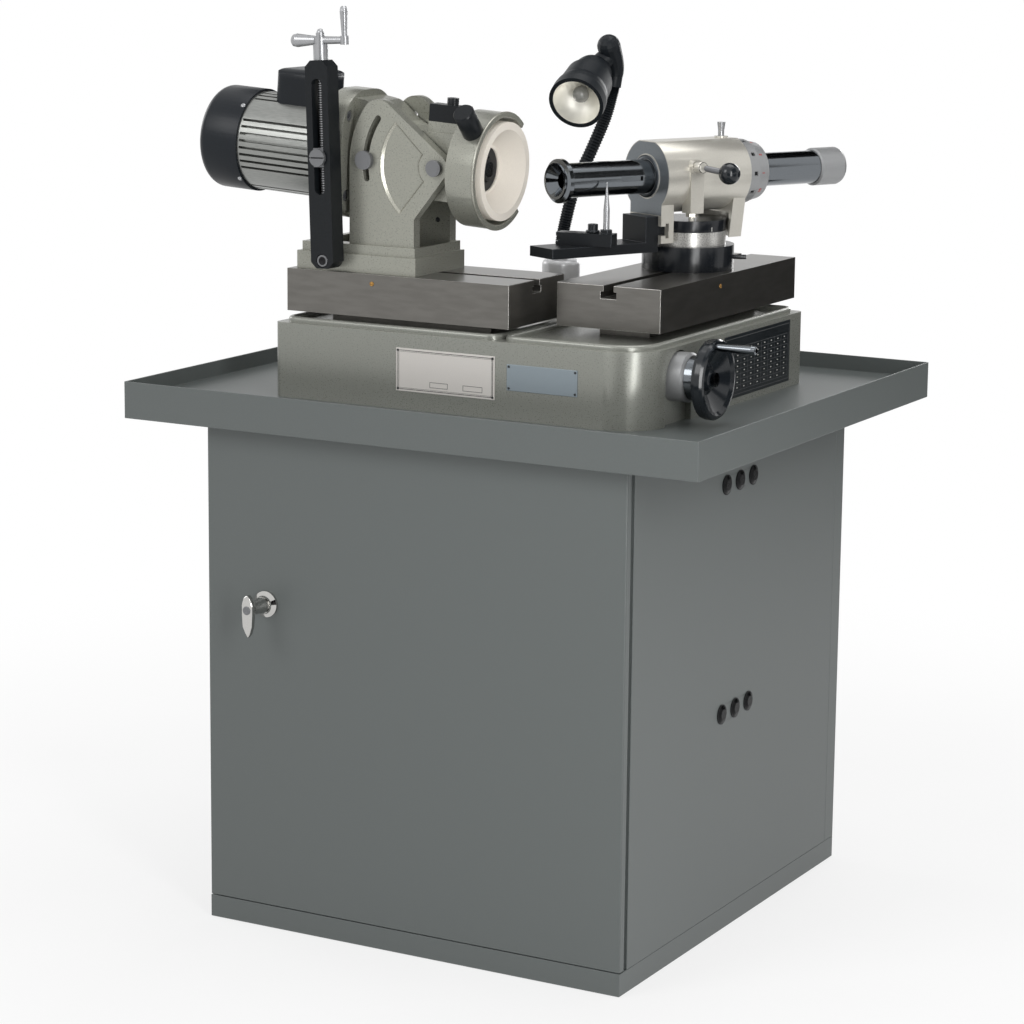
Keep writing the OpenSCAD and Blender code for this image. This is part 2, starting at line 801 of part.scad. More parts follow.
module cheek_slot() {
    far = slot_r * 1.5;
    translate(cheek_pivot) intersection() {
        difference() {
            circle(slot_r + clamp_slot_w / 2);
            circle(slot_r - clamp_slot_w / 2);
        }
        polygon([[0, 0], on_circle([0, 0], far, slot_angles[0]),
            on_circle([0, 0], far, (slot_angles[0] + slot_angles[1]) / 2),
            on_circle([0, 0], far, slot_angles[1])]);
    }
    for (a = slot_angles) translate(on_circle(cheek_pivot, slot_r, a)) circle(clamp_slot_w / 2);
}

// Shallow sector panel on the outside of a cheek
module cheek_panel() {
    panel_r = slot_r - 21.5;
    notch_r = cheek_boss_r + 5;
    sides = [136, 230];
    far = 2 * panel_r;
    translate(cheek_pivot) intersection() {
        difference() {
            circle(panel_r);
            circle(notch_r);
        }
        polygon([[0, 0], on_circle([0, 0], far, sides[0]),
            on_circle([0, 0], far, (sides[0] + sides[1]) / 2), on_circle([0, 0], far, sides[1])]);
    }
}

// Stepped foot and two slotted cheeks
module pedestal() {
    y = wheel_y;
    color(cast_col) difference() {
        union() {
            block(ped_x, [y - ped_half - 2, y + ped_half - 2], [top_z, top_z + ped_low]);
            block([ped_x[0] + 5, ped_x[1] - 4], [y - ped_half + 3, y + ped_half - 6],
                [top_z + ped_low, top_z + ped_high]);
            xz_extrude(y - cheek_out, y - cheek_in) cheek_outline();
            xz_extrude(y + cheek_in, y + cheek_out) cheek_outline();
        }
        block([ped_x[0] + 14, ped_x[1] - 9], [y - cheek_in, y + cheek_in],
            [top_z + 9, top_z + ped_high + eps]);
        xz_extrude(y - cheek_out - eps, y + cheek_out + eps) cheek_slot();
        xz_extrude(y - cheek_out - eps, y - cheek_out + panel_depth) cheek_panel();
        translate([pivot_x, y, pivot_z]) rod_y(-cheek_out - eps, cheek_out + eps, pivot_pin_r);
        translate([bar_x, 0, bar_z]) rod_y(ped_front - eps, ped_front + 12, 4);
        for (x = ped_bolts) translate([x, y, top_z - eps]) cylinder(h = 12, r = 5.2);
    }
}

// T-bolts that hold the pedestal on the left table
ped_bolts = [-205, -92];
module pedestal_bolts() {
    color(black_col) for (x = ped_bolts) translate([x, wheel_y, top_z]) {
        translate([0, 0, 9]) hexagon(17, 9);
        translate([0, 0, -slot_neck_h - slot_head_h + 1]) cylinder(h = slot_neck_h + slot_head_h + 12, r = 5);
        block([-10, 10], [-slot_head / 2 + 0.5, slot_head / 2 - 0.5],
            [-slot_neck_h - slot_head_h + 0.5, -slot_neck_h]);
    }
}

// Stub pins through the cheeks on which the head tilts, and the shoulder screw of the adjuster bar
module pivot_bolts() {
    color(bright_col) {
        translate([pivot_x, wheel_y, pivot_z]) for (side = [0, 180]) rotate([0, 0, side]) {
            rod_y(-cheek_out, -head_half + 12, pivot_pin_r);
            rod_y(-cheek_out - 5, -cheek_out, 10.5);
        }
        translate([bar_x, 0, bar_z]) {
            rod_y(bar_y - bar_t / 2 + 2, ped_front, 5);
            rod_y(ped_front, ped_front + 11, 4);
            rod_y(bar_y - bar_t / 2 + 0.5, bar_y - bar_t / 2 + 6 - gap, 7.5);
        }
    }
}

clamp_at = on_circle([0, 0], slot_r, clamp_angle + head_tilt);

// Tilting head: motor flange, body between the cheeks, pad and spindle nose
module head_casting() {
    blend = [for (u = [0 : 0.125 : 1]) [-116 + 56 * u, 57.5 + 14.5 * cos(180 * u)]];
    color(cast_col) in_head() difference() {
        union() {
            yz_extrude(flange_x[0], flange_x[1]) round_rect(flange_w, flange_h, flange_r);
            xz_extrude(-head_half, head_half) polygon(concat([[flange_x[1] - eps, -74],
                [flange_x[1] - eps, 74]], blend, [[guard_x[0], 43], [guard_x[0], -43], [-52, -43],
                [-112, -70]]));
            rod_y(-cheek_in + gap, cheek_in - gap, 17);
            translate([clamp_at[0], 0, clamp_at[1]]) rod_y(-cheek_in + gap, cheek_in - gap, 12);
            block([-24, guard_x[0]], [-33, 33], [40, pad_top]);
        }
        rod_x(flange_x[0] - eps, guard_x[0] + eps, shaft_r + 3);
        rod_x(8, guard_x[0] + eps, bearing_r + 0.02);
        for (side = [0, 180]) rotate([0, 0, side]) {
            rod_y(-cheek_in, -head_half + 13, pivot_pin_r + fit);
            translate([side == 0 ? clamp_at[0] : -clamp_at[0], 0, clamp_at[1]])
                rod_y(-cheek_in, -head_half + 13, clamp_bolt_r);
        }
        at_flange_holes() {
            rod_x(flange_x[0] - eps, flange_x[1] + eps, 4.5);
            rod_x(flange_x[1] - 10, flange_x[1] + eps, 7.5);
        }
        translate([lug_at[0], 0, lug_at[1]]) rod_y(-flange_w, -flange_w / 2 + 24, lug_hole_d / 2);
        translate([4, -23, pad_top - 12]) cylinder(h = 20, r = 4);
    }
}

// Where the adjuster's pin meets the flange, in the head's frame
nut_at = [bar_x - nut_up * sin(bar_lean) - pivot_x, bar_z + nut_up * cos(bar_lean) - pivot_z];
lug_at = [nut_at[0] * cos(head_tilt) - nut_at[1] * sin(head_tilt),
          nut_at[0] * sin(head_tilt) + nut_at[1] * cos(head_tilt)];

// Bolts that run in the cheek slots and clamp the head, and the cap screws of the motor flange
module head_screws() {
    color(bright_col) in_head() {
        for (side = [0, 180]) rotate([0, 0, side])
            translate([side == 0 ? clamp_at[0] : -clamp_at[0], 0, clamp_at[1]]) {
                rod_y(-cheek_out - gap, -head_half + 12, clamp_bolt_r);
                rod_y(-cheek_out - gap - 7, -cheek_out - gap, 12);
            }
        at_flange_holes() {
            rod_x(flange_x[0] - 11, flange_x[1] - 10, 4);
            difference() {
                rod_x(flange_x[1] - 10, flange_x[1] - 2, 6.5);
                translate([flange_x[1] - 6, 0, 0]) rotate([0, 90, 0]) hexagon(6, 6);
            }
        }
    }
}

module at_flange_holes() {
    for (a = [-1, 1], b = [-1, 1]) translate([0, a * flange_hole[0], b * flange_hole[1]]) children();
}

// Finned stator housing with end shields
module motor_housing() {
    r = motor_d / 2;
    core = r - 8;
    color("#b9b6ae") in_head() difference() {
        union() {
            yz_extrude(motor_x, flange_x[0]) intersection() {
                circle(r);
                union() {
                    circle(core);
                    for (i = [0 : fins - 1]) rotate(i * 360 / fins) translate([core - 2, -fin_w / 2])
                        square([12, fin_w]);
                    for (i = [0 : 3]) rotate(45 + i * 90) translate([core - 2, -motor_pad_w / 2])
                        square([12, motor_pad_w]);
                }
            }
            rod_x(flange_x[0] - 9, flange_x[0], r);
            rod_x(motor_x, motor_x + 10, r);
            at_flange_holes() rod_x(flange_x[0] - 14, flange_x[0], 9);
        }
        rod_x(motor_x + 14, flange_x[0] - 10, core - 6);
        rod_x(motor_x - eps, motor_x + 12, bearing_r + 0.02);
        rod_x(motor_x - eps, flange_x[0] + eps, shaft_r + 3);
        at_flange_holes() rod_x(flange_x[0] - 12, flange_x[0] + eps, 4);
    }
}

module stator() {
    color(brass_col) in_head() translate([motor_x + 28, 0, 0]) rotate([0, 90, 0])
        tube(0, motor_len - 52, motor_d / 2 - 14, 32);
}

// Half section of a cup with a rounded rear edge, rear at y = 0
module cup_section(r, len, edge) {
    translate([0, edge]) square([r, len - edge]);
    square([r - edge, len]);
    intersection() {
        translate([r - edge, edge]) circle(edge);
        square([r, len]);
    }
}

// Pressed cover over the fan, with air slots in its rear face
module fan_cover() {
    lap = 7;
    wall = (fan_cover_d - motor_d) / 2 - 0.2;
    color(black_col) in_head() translate([cover_x, 0, 0]) rotate([0, 90, 0]) difference() {
        rotate_extrude() difference() {
            cup_section(fan_cover_d / 2, fan_cover_len + lap, 12);
            translate([0, 2.5]) cup_section(fan_cover_d / 2 - wall, fan_cover_len + lap, 10);
        }
        for (i = [0 : 15], r = [16, 36]) rotate([0, 0, i * 22.5])
            translate([r, -2, -eps]) cube([r == 16 ? 15 : 17, 4, 6]);
    }
}

// Outline with rounded upper corners, standing on z0
module rounded_top(w, z0, z1, r) {
    translate([0, (z0 + z1) / 2 - r]) round_rect(w, z1 - z0 + 2 * r, r);
}

// Terminal box with rounded edges, saddled on the motor
module terminal_box() {
    x = [motor_x + 40, flange_x[0] - 26];
    w = [x[1] - x[0], 68];
    z = [40, 100];
    edge = 13;
    color(black_col) in_head() difference() {
        translate([(x[0] + x[1]) / 2, 0, 0]) intersection() {
            translate([0, 0, z[0]]) linear_extrude(z[1] - z[0]) round_rect(w[0], w[1], edge);
            xz_extrude(-w[1], w[1]) rounded_top(w[0], z[0], z[1], edge);
            yz_extrude(-w[0], w[0]) rounded_top(w[1], z[0], z[1], edge);
        }
        rod_x(motor_x, flange_x[0], motor_d / 2 + 0.1);
    }
}

module bearings() {
    color(bright_col) in_head() rotate([0, 90, 0]) {
        tube(motor_x, motor_x + 12, bearing_r, shaft_r + fit);
        tube(8, 20, bearing_r, shaft_r + fit);
    }
}

// Shaft through motor and head, with the motor's laminated core
module rotor() {
    color(bright_col) in_head() {
        rod_x(cover_x + 24, hub_face + arbor_nut_h + 1, shaft_r);
        rod_x(motor_x + 28, motor_x + motor_len - 24, 31.5);
    }
}

module cooling_fan() {
    color(black_col) in_head() translate([cover_x + 28, 0, 0]) rotate([0, 90, 0]) {
        tube(0, 22, 15, shaft_r);
        tube(18, 22, 54, 14);
        for (i = [0 : 7]) rotate([0, 0, i * 45]) translate([14, -1.5, 4]) cube([38, 3, 15]);
    }
}

// White cup wheel with a tapered inside
module grinding_wheel() {
    floor_x = wheel_len - cup_depth;
    color(white_col) in_head() translate([wheel_x, 0, 0]) rotate([0, 90, 0]) rotate_extrude()
        polygon([[wheel_bore_r, 0], [wheel_r - 2, 0], [wheel_r, 2], [wheel_r, wheel_len],
            [wheel_r - wheel_rim, wheel_len], [wheel_bore_r + 4, floor_x], [wheel_bore_r, floor_x]]);
}

// Hub that the wheel is bonded to, with its backing flange and nut on the shaft
module wheel_flanges() {
    color(steel_col) in_head() rotate([0, 90, 0]) {
        tube(guard_x[0] + guard_t + 0.5, wheel_x, wheel_bore_r + 6, shaft_r);
        tube(wheel_x, hub_face, wheel_bore_r, shaft_r);
        translate([0, 0, hub_face]) difference() {
            hexagon(28, arbor_nut_h);
            translate([0, 0, -eps]) cylinder(h = arbor_nut_h + 2 * eps, r = shaft_r);
        }
    }
}

// Sheet of the opening at the back of the guard
module guard_gap() {
    far = guard_d;
    polygon([[0, 0], on_circle([0, 0], far, guard_open[0]), [2 * far, 0],
        on_circle([0, 0], far, guard_open[1])]);
}

// Ring shaped guard, open at the back where the work meets the wheel
module wheel_guard() {
    r = guard_d / 2;
    color(cast_col) in_head() difference() {
        union() {
            yz_extrude(guard_x[0], guard_x[0] + guard_t) circle(r);
            yz_extrude(guard_x[0], guard_x[1] - 3) difference() {
                circle(r);
                circle(r - guard_t);
            }
            yz_extrude(guard_x[1] - 3, guard_x[1]) difference() {
                circle(r + 1.2);
                circle(r - guard_t);
            }
        }
        yz_extrude(guard_x[0] - eps, guard_x[1] + eps) difference() {
            guard_gap();
            circle(46);
        }
        rod_x(guard_x[0] - eps, guard_x[1], shaft_r + 12);
    }
}

// Black clamp bar on the head's pad, with its cap screw
module guard_bar() {
    top = pad_top + 22;
    color(black_col) in_head() {
        block([-24, guard_x[0]], [-33, -13], [pad_top, top]);
        translate([4, -23, pad_top - 10]) cylinder(h = top - pad_top + 10, r = 4);
        translate([4, -23, top]) difference() {
            cylinder(h = 9, r = 7.5);
            translate([0, 0, 4]) hexagon(8, 10);
        }
    }
}

// Cylindrical knob standing out of the guard at its upper front
module guard_knob() {
    r = 13.5;
    color(black_col) in_head() difference() {
        translate([52, 0, 0]) rotate([46, 0, 0]) {
            translate([0, 0, guard_d / 2 - 4]) cylinder(h = 40, r = r);
            translate([0, 0, guard_d / 2 + 36]) cylinder(h = 2, r1 = r, r2 = r - 1.5);
        }
        rod_x(guard_x[0], guard_x[1] + 10, guard_d / 2);
    }
}

// Outline of the adjuster bar with cut corners
module bar_outline() {
    w = bar_w / 2;
    z0 = -10;
    cut = 8;
    polygon([[-w + cut, z0], [w - cut, z0], [w, z0 + cut], [w, bar_up - cut], [w - cut, bar_up],
        [-w + cut, bar_up], [-w, bar_up - cut], [-w, z0 + cut]]);
}

module bar_slot_outline() {
    w = bar_slot_w / 2;
    translate([-w, bar_slot[0] + w]) square([2 * w, bar_slot[1] - bar_slot[0] - 2 * w]);
    for (z = [bar_slot[0] + w, bar_slot[1] - w]) translate([0, z]) circle(w);
}

// Slotted bar that guides the adjuster nut
module adjuster_bar() {
    color(black_col) in_bar() difference() {
        xz_extrude(-bar_t / 2, bar_t / 2) bar_outline();
        xz_extrude(-bar_t, bar_t) bar_slot_outline();
        rod_y(-bar_t, bar_t, 5 + fit);
        rod_y(-bar_t, -bar_t / 2 + 6, 8.5);
        translate([0, 0, bar_slot[0] - 12]) cylinder(h = bar_up, r = adjust_d / 2 + fit);
    }
}

// Screw with its sleeve, tapered crank arm, cap nut and upright handle
module adjuster_screw() {
    sleeve = 20;
    arm = 9;
    z = bar_up + gap;
    color(bright_col) in_bar() {
        translate([0, 0, bar_slot[0] - 11.5]) cylinder(h = z - bar_slot[0] + 12, r = adjust_d / 2);
        translate([0, 0, z]) cylinder(h = sleeve, r = 9.5);
        translate([0, 0, z + sleeve]) {
            translate([0, 0, arm / 2]) rotate([0, 90, 0]) rotate_extrude()
                polygon([[0, -crank_back], [5.5, -crank_back], [7.6, -crank_back + 2], [8.6, -crank_back + 7],
                    [5.4, -6], [4.4, crank_r], [0, crank_r]]);
            cylinder(h = arm, r = 8);
            translate([0, 0, arm]) cylinder(h = 5, r = 5.5);
            translate([0, 0, arm + 5]) sphere(5);
            translate([crank_r, 0, -1]) {
                cylinder(h = arm + 2, r = 5.5);
                translate([0, 0, arm + 2]) rotate_extrude() polygon([[0, 0], [3.5, 0], [5.2, 31], [4.6, 35],
                    [2.5, 37], [0, 37]]);
            }
        }
    }
}

// Nut block in the bar's slot, with a slotted screw in front and the pin to the head behind
module adjuster_nut() {
    w = bar_slot_w / 2 - slide_gap;
    pin_end = wheel_y - flange_w / 2 + 20 - bar_y;
    color(bright_col) in_bar() translate([0, 0, nut_up]) {
        difference() {
            block([-w, w], [-bar_t / 2 - gap, bar_t / 2 + gap], [-nut_h / 2, nut_h / 2]);
            translate([0, 0, -nut_h]) cylinder(h = 2 * nut_h, r = adjust_d / 2 + fit);
        }
        difference() {
            rod_y(-bar_t / 2 - gap - 5, -bar_t / 2 - gap, 11);
            block([-12, 12], [-bar_t, -bar_t / 2 - gap - 3.2], [-0.9, 0.9]);
        }
        rod_y(bar_t / 2 + gap, pin_end, lug_pin_d / 2);
    }
}

module right_table() {
    y = [right_mid - right_len / 2, right_mid + right_len / 2];
    color(steel_col) translate([work_x, 0, 0]) difference() {
        block([-table_w / 2, table_w / 2], y, [table_z, top_z]);
        translate([0, 0, top_z]) xz_extrude(y[0] - eps, y[1] + eps) t_slot_section();
        translate([0, 0, deck_z]) xz_extrude(y[0] + end_wall, y[1] + eps) rail_section(slide_gap);
    }
}

// Round base held by two T-studs, with its clamping rod
module swivel_base() {
    color(black_col) translate([work_x, work_y, top_z]) {
        difference() {
            cylinder(h = swivel_h, d = swivel_d);
            translate([0, 0, -eps]) cylinder(h = swivel_h + 2 * eps, r = stem_r + fit);
        }
        for (y = [-36, 36]) translate([0, y, 0])
            block([-slot_head / 2 + 0.5, slot_head / 2 - 0.5], [-10, 10],
                [-slot_neck_h - slot_head_h + 0.5, -slot_neck_h - 0.1]);
        for (y = [-36, 36]) translate([0, y, -slot_neck_h - 2]) cylinder(h = slot_neck_h + 2, r = 5);
        translate([0, 0, 15]) rotate([0, 0, 25]) rod_x(swivel_d / 2 - 3, swivel_d / 2 + 16, 3);
    }
}

module graduated_ring() {
    color(bright_col) translate([work_x, work_y, 0]) tube(dial_z, plate_z, dial_d / 2, stem_r + fit);
}

// Swivel plate with its stem and the two trunnions that carry the workhead
module swivel_plate() {
    front = leg_front + 7;
    back = leg_back;
    color(black_col) in_work() {
        translate([0, 0, plate_z + slide_gap]) cylinder(h = plate_h - slide_gap, d = dial_d);
        translate([0, 0, top_z + 4]) cylinder(h = plate_z - top_z, r = stem_r);
        translate([0, 0, work_pivot_z]) rod_y(-front, back, trunnion_r);
    }
}

// Cast body with a front leg, a raking rear leg and a rib for the levelling stud
module workhead_casting() {
    leg_half = 33;
    back_half = 37;
    back_t = 20;
    rib = [32, body_r + 2];
    rib_y = [-36, -15];
    leg_top = spindle_z - 26;
    color("#b4b2aa") {
        difference() {
            union() {
                in_spindle() translate([0, 0, body_s[1]]) linear_extrude(body_s[0] - body_s[1]) intersection() {
                    circle(body_r);
                    translate([-body_r, -body_r]) square([2 * body_r, 2 * body_r - 3]);
                }
                in_work() {
                    block([-leg_half, leg_half], [-body_s[0], -leg_front], [leg_z, spindle_z]);
                    difference() {
                        yz_extrude(-back_half, back_half) polygon([[leg_back - back_t, leg_z + 3],
                            [leg_back, leg_z + 3], [-body_s[1], leg_top], [-body_s[1], spindle_z],
                            [-body_s[1] - back_t, spindle_z], [-body_s[1] - back_t, leg_top]]);
                        translate([0, 0, dial_z])
                            cylinder(h = plate_z + plate_h - dial_z + leg_clear[1], r = dial_d / 2 + leg_clear[0]);
                    }
                    block(rib, rib_y, [plate_z + plate_h + 11, lever_boss[2]]);
                    translate([0, lever_boss[1], lever_boss[2]]) rod_x(30, body_r + 4, 9);
                    translate([0, -plunger_s, spindle_z + body_r - 6]) cylinder(h = 5, r = 9);
                }
            }
            in_spindle() translate([0, 0, body_s[1] - eps])
                cylinder(h = body_s[0] - body_s[1] + 2 * eps, r = sleeve_r + fit);
            in_work() {
                translate([0, 0, work_pivot_z]) rod_y(-body_s[0] + rest_slot_depth[1] - eps, 100, trunnion_r + fit);
                rest_slot_cut();
                translate([0, lever_boss[1], lever_boss[2]]) rod_x(sleeve_r, body_r + 10, 4 + fit);
                translate([0, -plunger_s, spindle_z]) cylinder(h = body_r + 10, r = 4 + fit);
            }
        }
        in_work() translate([38, -25, 0]) {
            translate([0, 0, plate_z + plate_h + gap]) cylinder(h = 12, r = 4);
            translate([0, 0, plate_z + plate_h + 6]) hexagon(13, 5);
        }
    }
}

// T-slot across the front leg that carries the tooth rest
module rest_slot_cut() {
    block([-60, 60], [-body_s[0] - eps, -body_s[0] + rest_slot_depth[0] + eps],
        [rest_slot_z - rest_slot[0] / 2, rest_slot_z + rest_slot[0] / 2]);
    block([-60, 60], [-body_s[0] + rest_slot_depth[0], -body_s[0] + rest_slot_depth[1]],
        [rest_slot_z - rest_slot[1] / 2, rest_slot_z + rest_slot[1] / 2]);
}

// Lever with a ball knob that locks the spindle
lever_boss = [body_r + 4 + gap, -28, spindle_z + 14];
lever_ball = [85, -2, spindle_z + 7];
module clamp_lever() {
    d = lever_ball - [lever_boss[0] + 6, lever_boss[1], lever_boss[2]];
    len = norm(d);
    color(black_col) in_work() {
        translate([0, lever_boss[1], lever_boss[2]]) {
            rod_x(sleeve_r + 4, lever_boss[0] + 2, 4);
            rod_x(lever_boss[0], lever_boss[0] + 12, 7);
        }
        translate([lever_boss[0] + 6, lever_boss[1], lever_boss[2]])
            rotate([0, acos(d[2] / len), atan2(d[1], d[0])]) cylinder(h = len, r = 3.5);
        translate(lever_ball) sphere(14);
    }
}

// Spring plunger that drops into the index holes of the sleeve
module index_plunger() {
    color(bright_col) in_work() translate([0, -plunger_s, spindle_z]) {
        translate([0, 0, sleeve_r + 1]) cylinder(h = 7, r = 3);
        translate([0, 0, sleeve_r + 8]) cylinder(h = body_r - sleeve_r - 2, r = 4);
        translate([0, 0, body_r + 6]) cylinder(h = 11, r1 = 4, r2 = 5.5);
    }
}

// Sleeve in the body with the notched index ring behind it
module index_sleeve() {
    r = index_d / 2;
    color("#a9aaa8") in_spindle() difference() {
        union() {
            translate([0, 0, index_s[2]]) cylinder(h = body_s[0] + 1.5 - index_s[2], r = sleeve_r);
            translate([0, 0, index_s[1]]) cylinder(h = index_s[0] - index_s[1], r = r);
            translate([0, 0, index_s[2]]) cylinder(h = index_s[1] - index_s[2], r1 = r - 4.5, r2 = r - 1.2);
        }
        translate([0, 0, index_s[2] - eps]) cylinder(h = 200, r = spindle_r + fit);
        for (i = [0 : index_n - 1]) rotate([0, 0, i * 360 / index_n]) {
            translate([r - 2.5, -2.6, index_s[0] - 15]) cube([4, 5.2, 5.5]);
            translate([0, sleeve_r + eps, plunger_s]) rotate([90, 0, 0]) cylinder(h = 5, r = 3.3);
        }
    }
}

// Ground spindle tube with its nose flange, tool socket and keyway
module spindle() {
    color(bright_col) in_spindle() difference() {
        union() {
            translate([0, 0, spindle_s[1]]) cylinder(h = spindle_s[0] - spindle_s[1], r = spindle_r);
            translate([0, 0, spindle_s[0]]) rotate_extrude() polygon([[0, 0], [nose_d / 2 - 1, 0],
                [nose_d / 2, 1], [nose_d / 2, 7], [nose_d / 2 - 5, 9], [nose_d / 2 - 5, 12], [0, 12]]);
        }
        translate([0, 0, spindle_s[1] - eps])
            cylinder(h = spindle_s[0] - spindle_s[1] - socket_len + eps, r = tube_bore_r);
        translate([0, 0, spindle_s[0] - socket_len - eps]) cylinder(h = socket_len + 2 * eps, r = socket_r);
        translate([0, 0, spindle_s[0]]) cylinder(h = 12 + eps, r1 = socket_r, r2 = 20.3);
        translate([spindle_r - 2.5, -3, 92]) cube([5, 6, 34]);
    }
}

// Drawbar with its hand knob
module drawbar() {
    z = spindle_s[1] - gap;
    r = knob_d / 2;
    color("#b5b6b6") in_spindle() {
        translate([0, 0, z - knob_len]) rotate_extrude() polygon([[0, 0], [r - 5, 0], [r - 1.5, 1.5],
            [r, 5], [r, knob_len - 2],
            [r - 2, knob_len], [0, knob_len]]);
        translate([0, 0, z]) cylinder(h = 20, r = tube_bore_r - fit);
        translate([0, 0, z + 20]) cylinder(h = 320, r = 6);
    }
}

// Angle bracket that slides across the workhead's front leg
module tooth_rest_bracket() {
    x = [arm_mid - arm_w / 2, arm_mid + arm_w / 2];
    clear = 0.15;
    neck = rest_slot[0] / 2 - clear;
    head = rest_slot[1] / 2 - clear;
    y0 = -body_s[0];
    color(black_col) in_work() {
        block(x, [-rest_plate_s, -rest_back], [arm_z, arm_z + 46]);
        block(x, [-arm_s, -rest_plate_s], [arm_z, arm_top]);
        block([-20, arm_mid + arm_w / 2 - 2], [-rest_back, y0 + rest_slot_depth[0] + clear],
            [rest_slot_z - neck, rest_slot_z + neck]);
        block([-20, arm_mid + arm_w / 2 - 2], [y0 + rest_slot_depth[0] + clear, y0 + rest_slot_depth[1] - clear],
            [rest_slot_z - head, rest_slot_z + head]);
        translate([holder_at[0], -holder_at[1], 0]) {
            translate([0, 0, arm_top]) cylinder(h = holder_h + gap, r = 4);
            translate([0, 0, arm_top + holder_h + gap]) cylinder(h = 3, r = 9);
            translate([0, 0, arm_top + holder_h + gap + 3]) difference() {
                cylinder(h = 8, r = 6.5);
                translate([0, 0, 4]) hexagon(6, 6);
            }
        }
    }
}

// Frame of the finger's holder, which swings about its cap screw
module in_holder() {
    in_work() translate([holder_at[0], -holder_at[1], arm_top]) rotate([0, 0, holder_dir]) children();
}

// Holder bar on the arm, with the nut that grips the finger
module finger_holder() {
    color(black_col) in_holder() difference() {
        union() {
            block([-46, 29], [-11, 11], [slide_gap, holder_h]);
            translate([finger_x, 0, holder_h - eps]) hexagon(14, 5 + eps);
        }
        translate([0, 0, -eps]) cylinder(h = holder_h + 2 * eps, r = 4 + fit);
        translate([finger_x, 0, -eps]) cylinder(h = holder_h + 10, r = finger_d / 2 + fit);
        translate([-46 - 3, -12, holder_h / 2]) rotate([0, 45, 0]) cube([6, 24, 6]);
    }
}

// Pointed finger that slides up and down in the holder
module finger() {
    straight = 42;
    tip = spindle_z - 1 - arm_top;
    color(bright_col) in_holder() translate([finger_x, 0, 4.5]) {
        cylinder(h = straight, r = finger_d / 2);
        translate([0, 0, straight]) cylinder(h = tip - straight - 4.5, r1 = finger_d / 2, r2 = 0.6);
    }
}

// Foot with the socket that the gooseneck turns in
module lamp_foot() {
    r = lamp_foot_d / 2;
    color(bright_col) translate([lamp_at[0], lamp_at[1], deck_z]) difference() {
        rotate_extrude() polygon(concat([[0, 0], [r, 0]],
            [for (a = [0 : 15 : 60]) [r - 8 + 8 * cos(a), lamp_foot_h - 8 + 8 * sin(a)]],
            [[12, lamp_foot_h], [0, lamp_foot_h]]));
        translate([0, 0, lamp_foot_h - stub_len - 1]) cylinder(h = stub_len + 2, r = stub_r + fit);
    }
}

// Smooth curve through the gooseneck's route
function spline(p, t) = let(n = len(p) - 1, i = min(floor(t * n), n - 1), u = t * n - i,
    a = p[max(i - 1, 0)], b = p[i], c = p[i + 1], d = p[min(i + 2, n)])
    0.5 * (2 * b + (c - a) * u + (2 * a - 5 * b + 4 * c - d) * u * u + (3 * b - a - 3 * c + d) * u * u * u);
function bezier(p, t) = p[0] * pow(1 - t, 3) + 3 * p[1] * t * pow(1 - t, 2) + 3 * p[2] * t * t * (1 - t)
    + p[3] * pow(t, 3);
function unit(v) = v / norm(v);
// One ring of points square to a curve
function ring(c, dir, r, sides) = let(u = unit(cross(dir, [0, 1, 0.2])), v = cross(unit(dir), u))
    [for (k = [0 : sides - 1]) c + r * (cos(k * 360 / sides) * u + sin(k * 360 / sides) * v)];
// Faces of a closed skin over rings in a row, whose last ring joins the first
function loop_faces(n, s) = [for (i = [0 : n - 1], k = [0 : s - 1], h = [0, 1])
    let(j = (i + 1) % n, m = (k + 1) % s)
    h == 0 ? [i * s + k, j * s + k, j * s + m] : [i * s + k, j * s + m, i * s + m]];

// Ribbed hose with its bore, a stub in the foot and a socketed collar at its end
module lamp_neck() {
    sides = 8;
    steps = 2 * ribs;
    bore_steps = 12;
    hose_end = 0.988;
    e = 0.002;
    outer = [for (i = [0 : steps]) let(t = hose_end * i / steps) ring(spline(neck_route, t),
        spline(neck_route, t + e) - spline(neck_route, max(t - e, 0)),
        i % 2 == 0 ? neck_r : neck_r - rib_depth, sides)];
    inner = [for (i = [bore_steps : -1 : 0]) let(t = hose_end * i / bore_steps) ring(spline(neck_route, t),
        spline(neck_route, t + e) - spline(neck_route, max(t - e, 0)), hose_bore_r, sides)];
    rings = concat(outer, inner);
    color(black_col) {
        translate([0, 0, lamp_top + gap])
            polyhedron([for (r = rings, p = r) p], loop_faces(len(rings), sides));
        translate([lamp_at[0], lamp_at[1], lamp_top - stub_len]) cylinder(h = stub_len + 6, r = stub_r);
        in_collar() difference() {
            translate([0, 0, -4]) cylinder(h = collar_len + 4, r = neck_r + 0.8);
            cylinder(h = collar_len + eps, r = stub_r + fit);
        }
    }
}

// Frame of the collar at the end of the gooseneck
module in_collar() {
    translate(neck_end + [0, 0, lamp_top + gap]) rotate([0, acos(neck_dir[2]), atan2(neck_dir[1], neck_dir[0])])
        children();
}

// Frame of the shade: +Z out of its mouth
module in_shade() {
    a = unit(shade_axis);
    translate(shade_mid + [0, 0, lamp_top]) rotate([0, acos(a[2]), atan2(a[1], a[0])]) children();
}

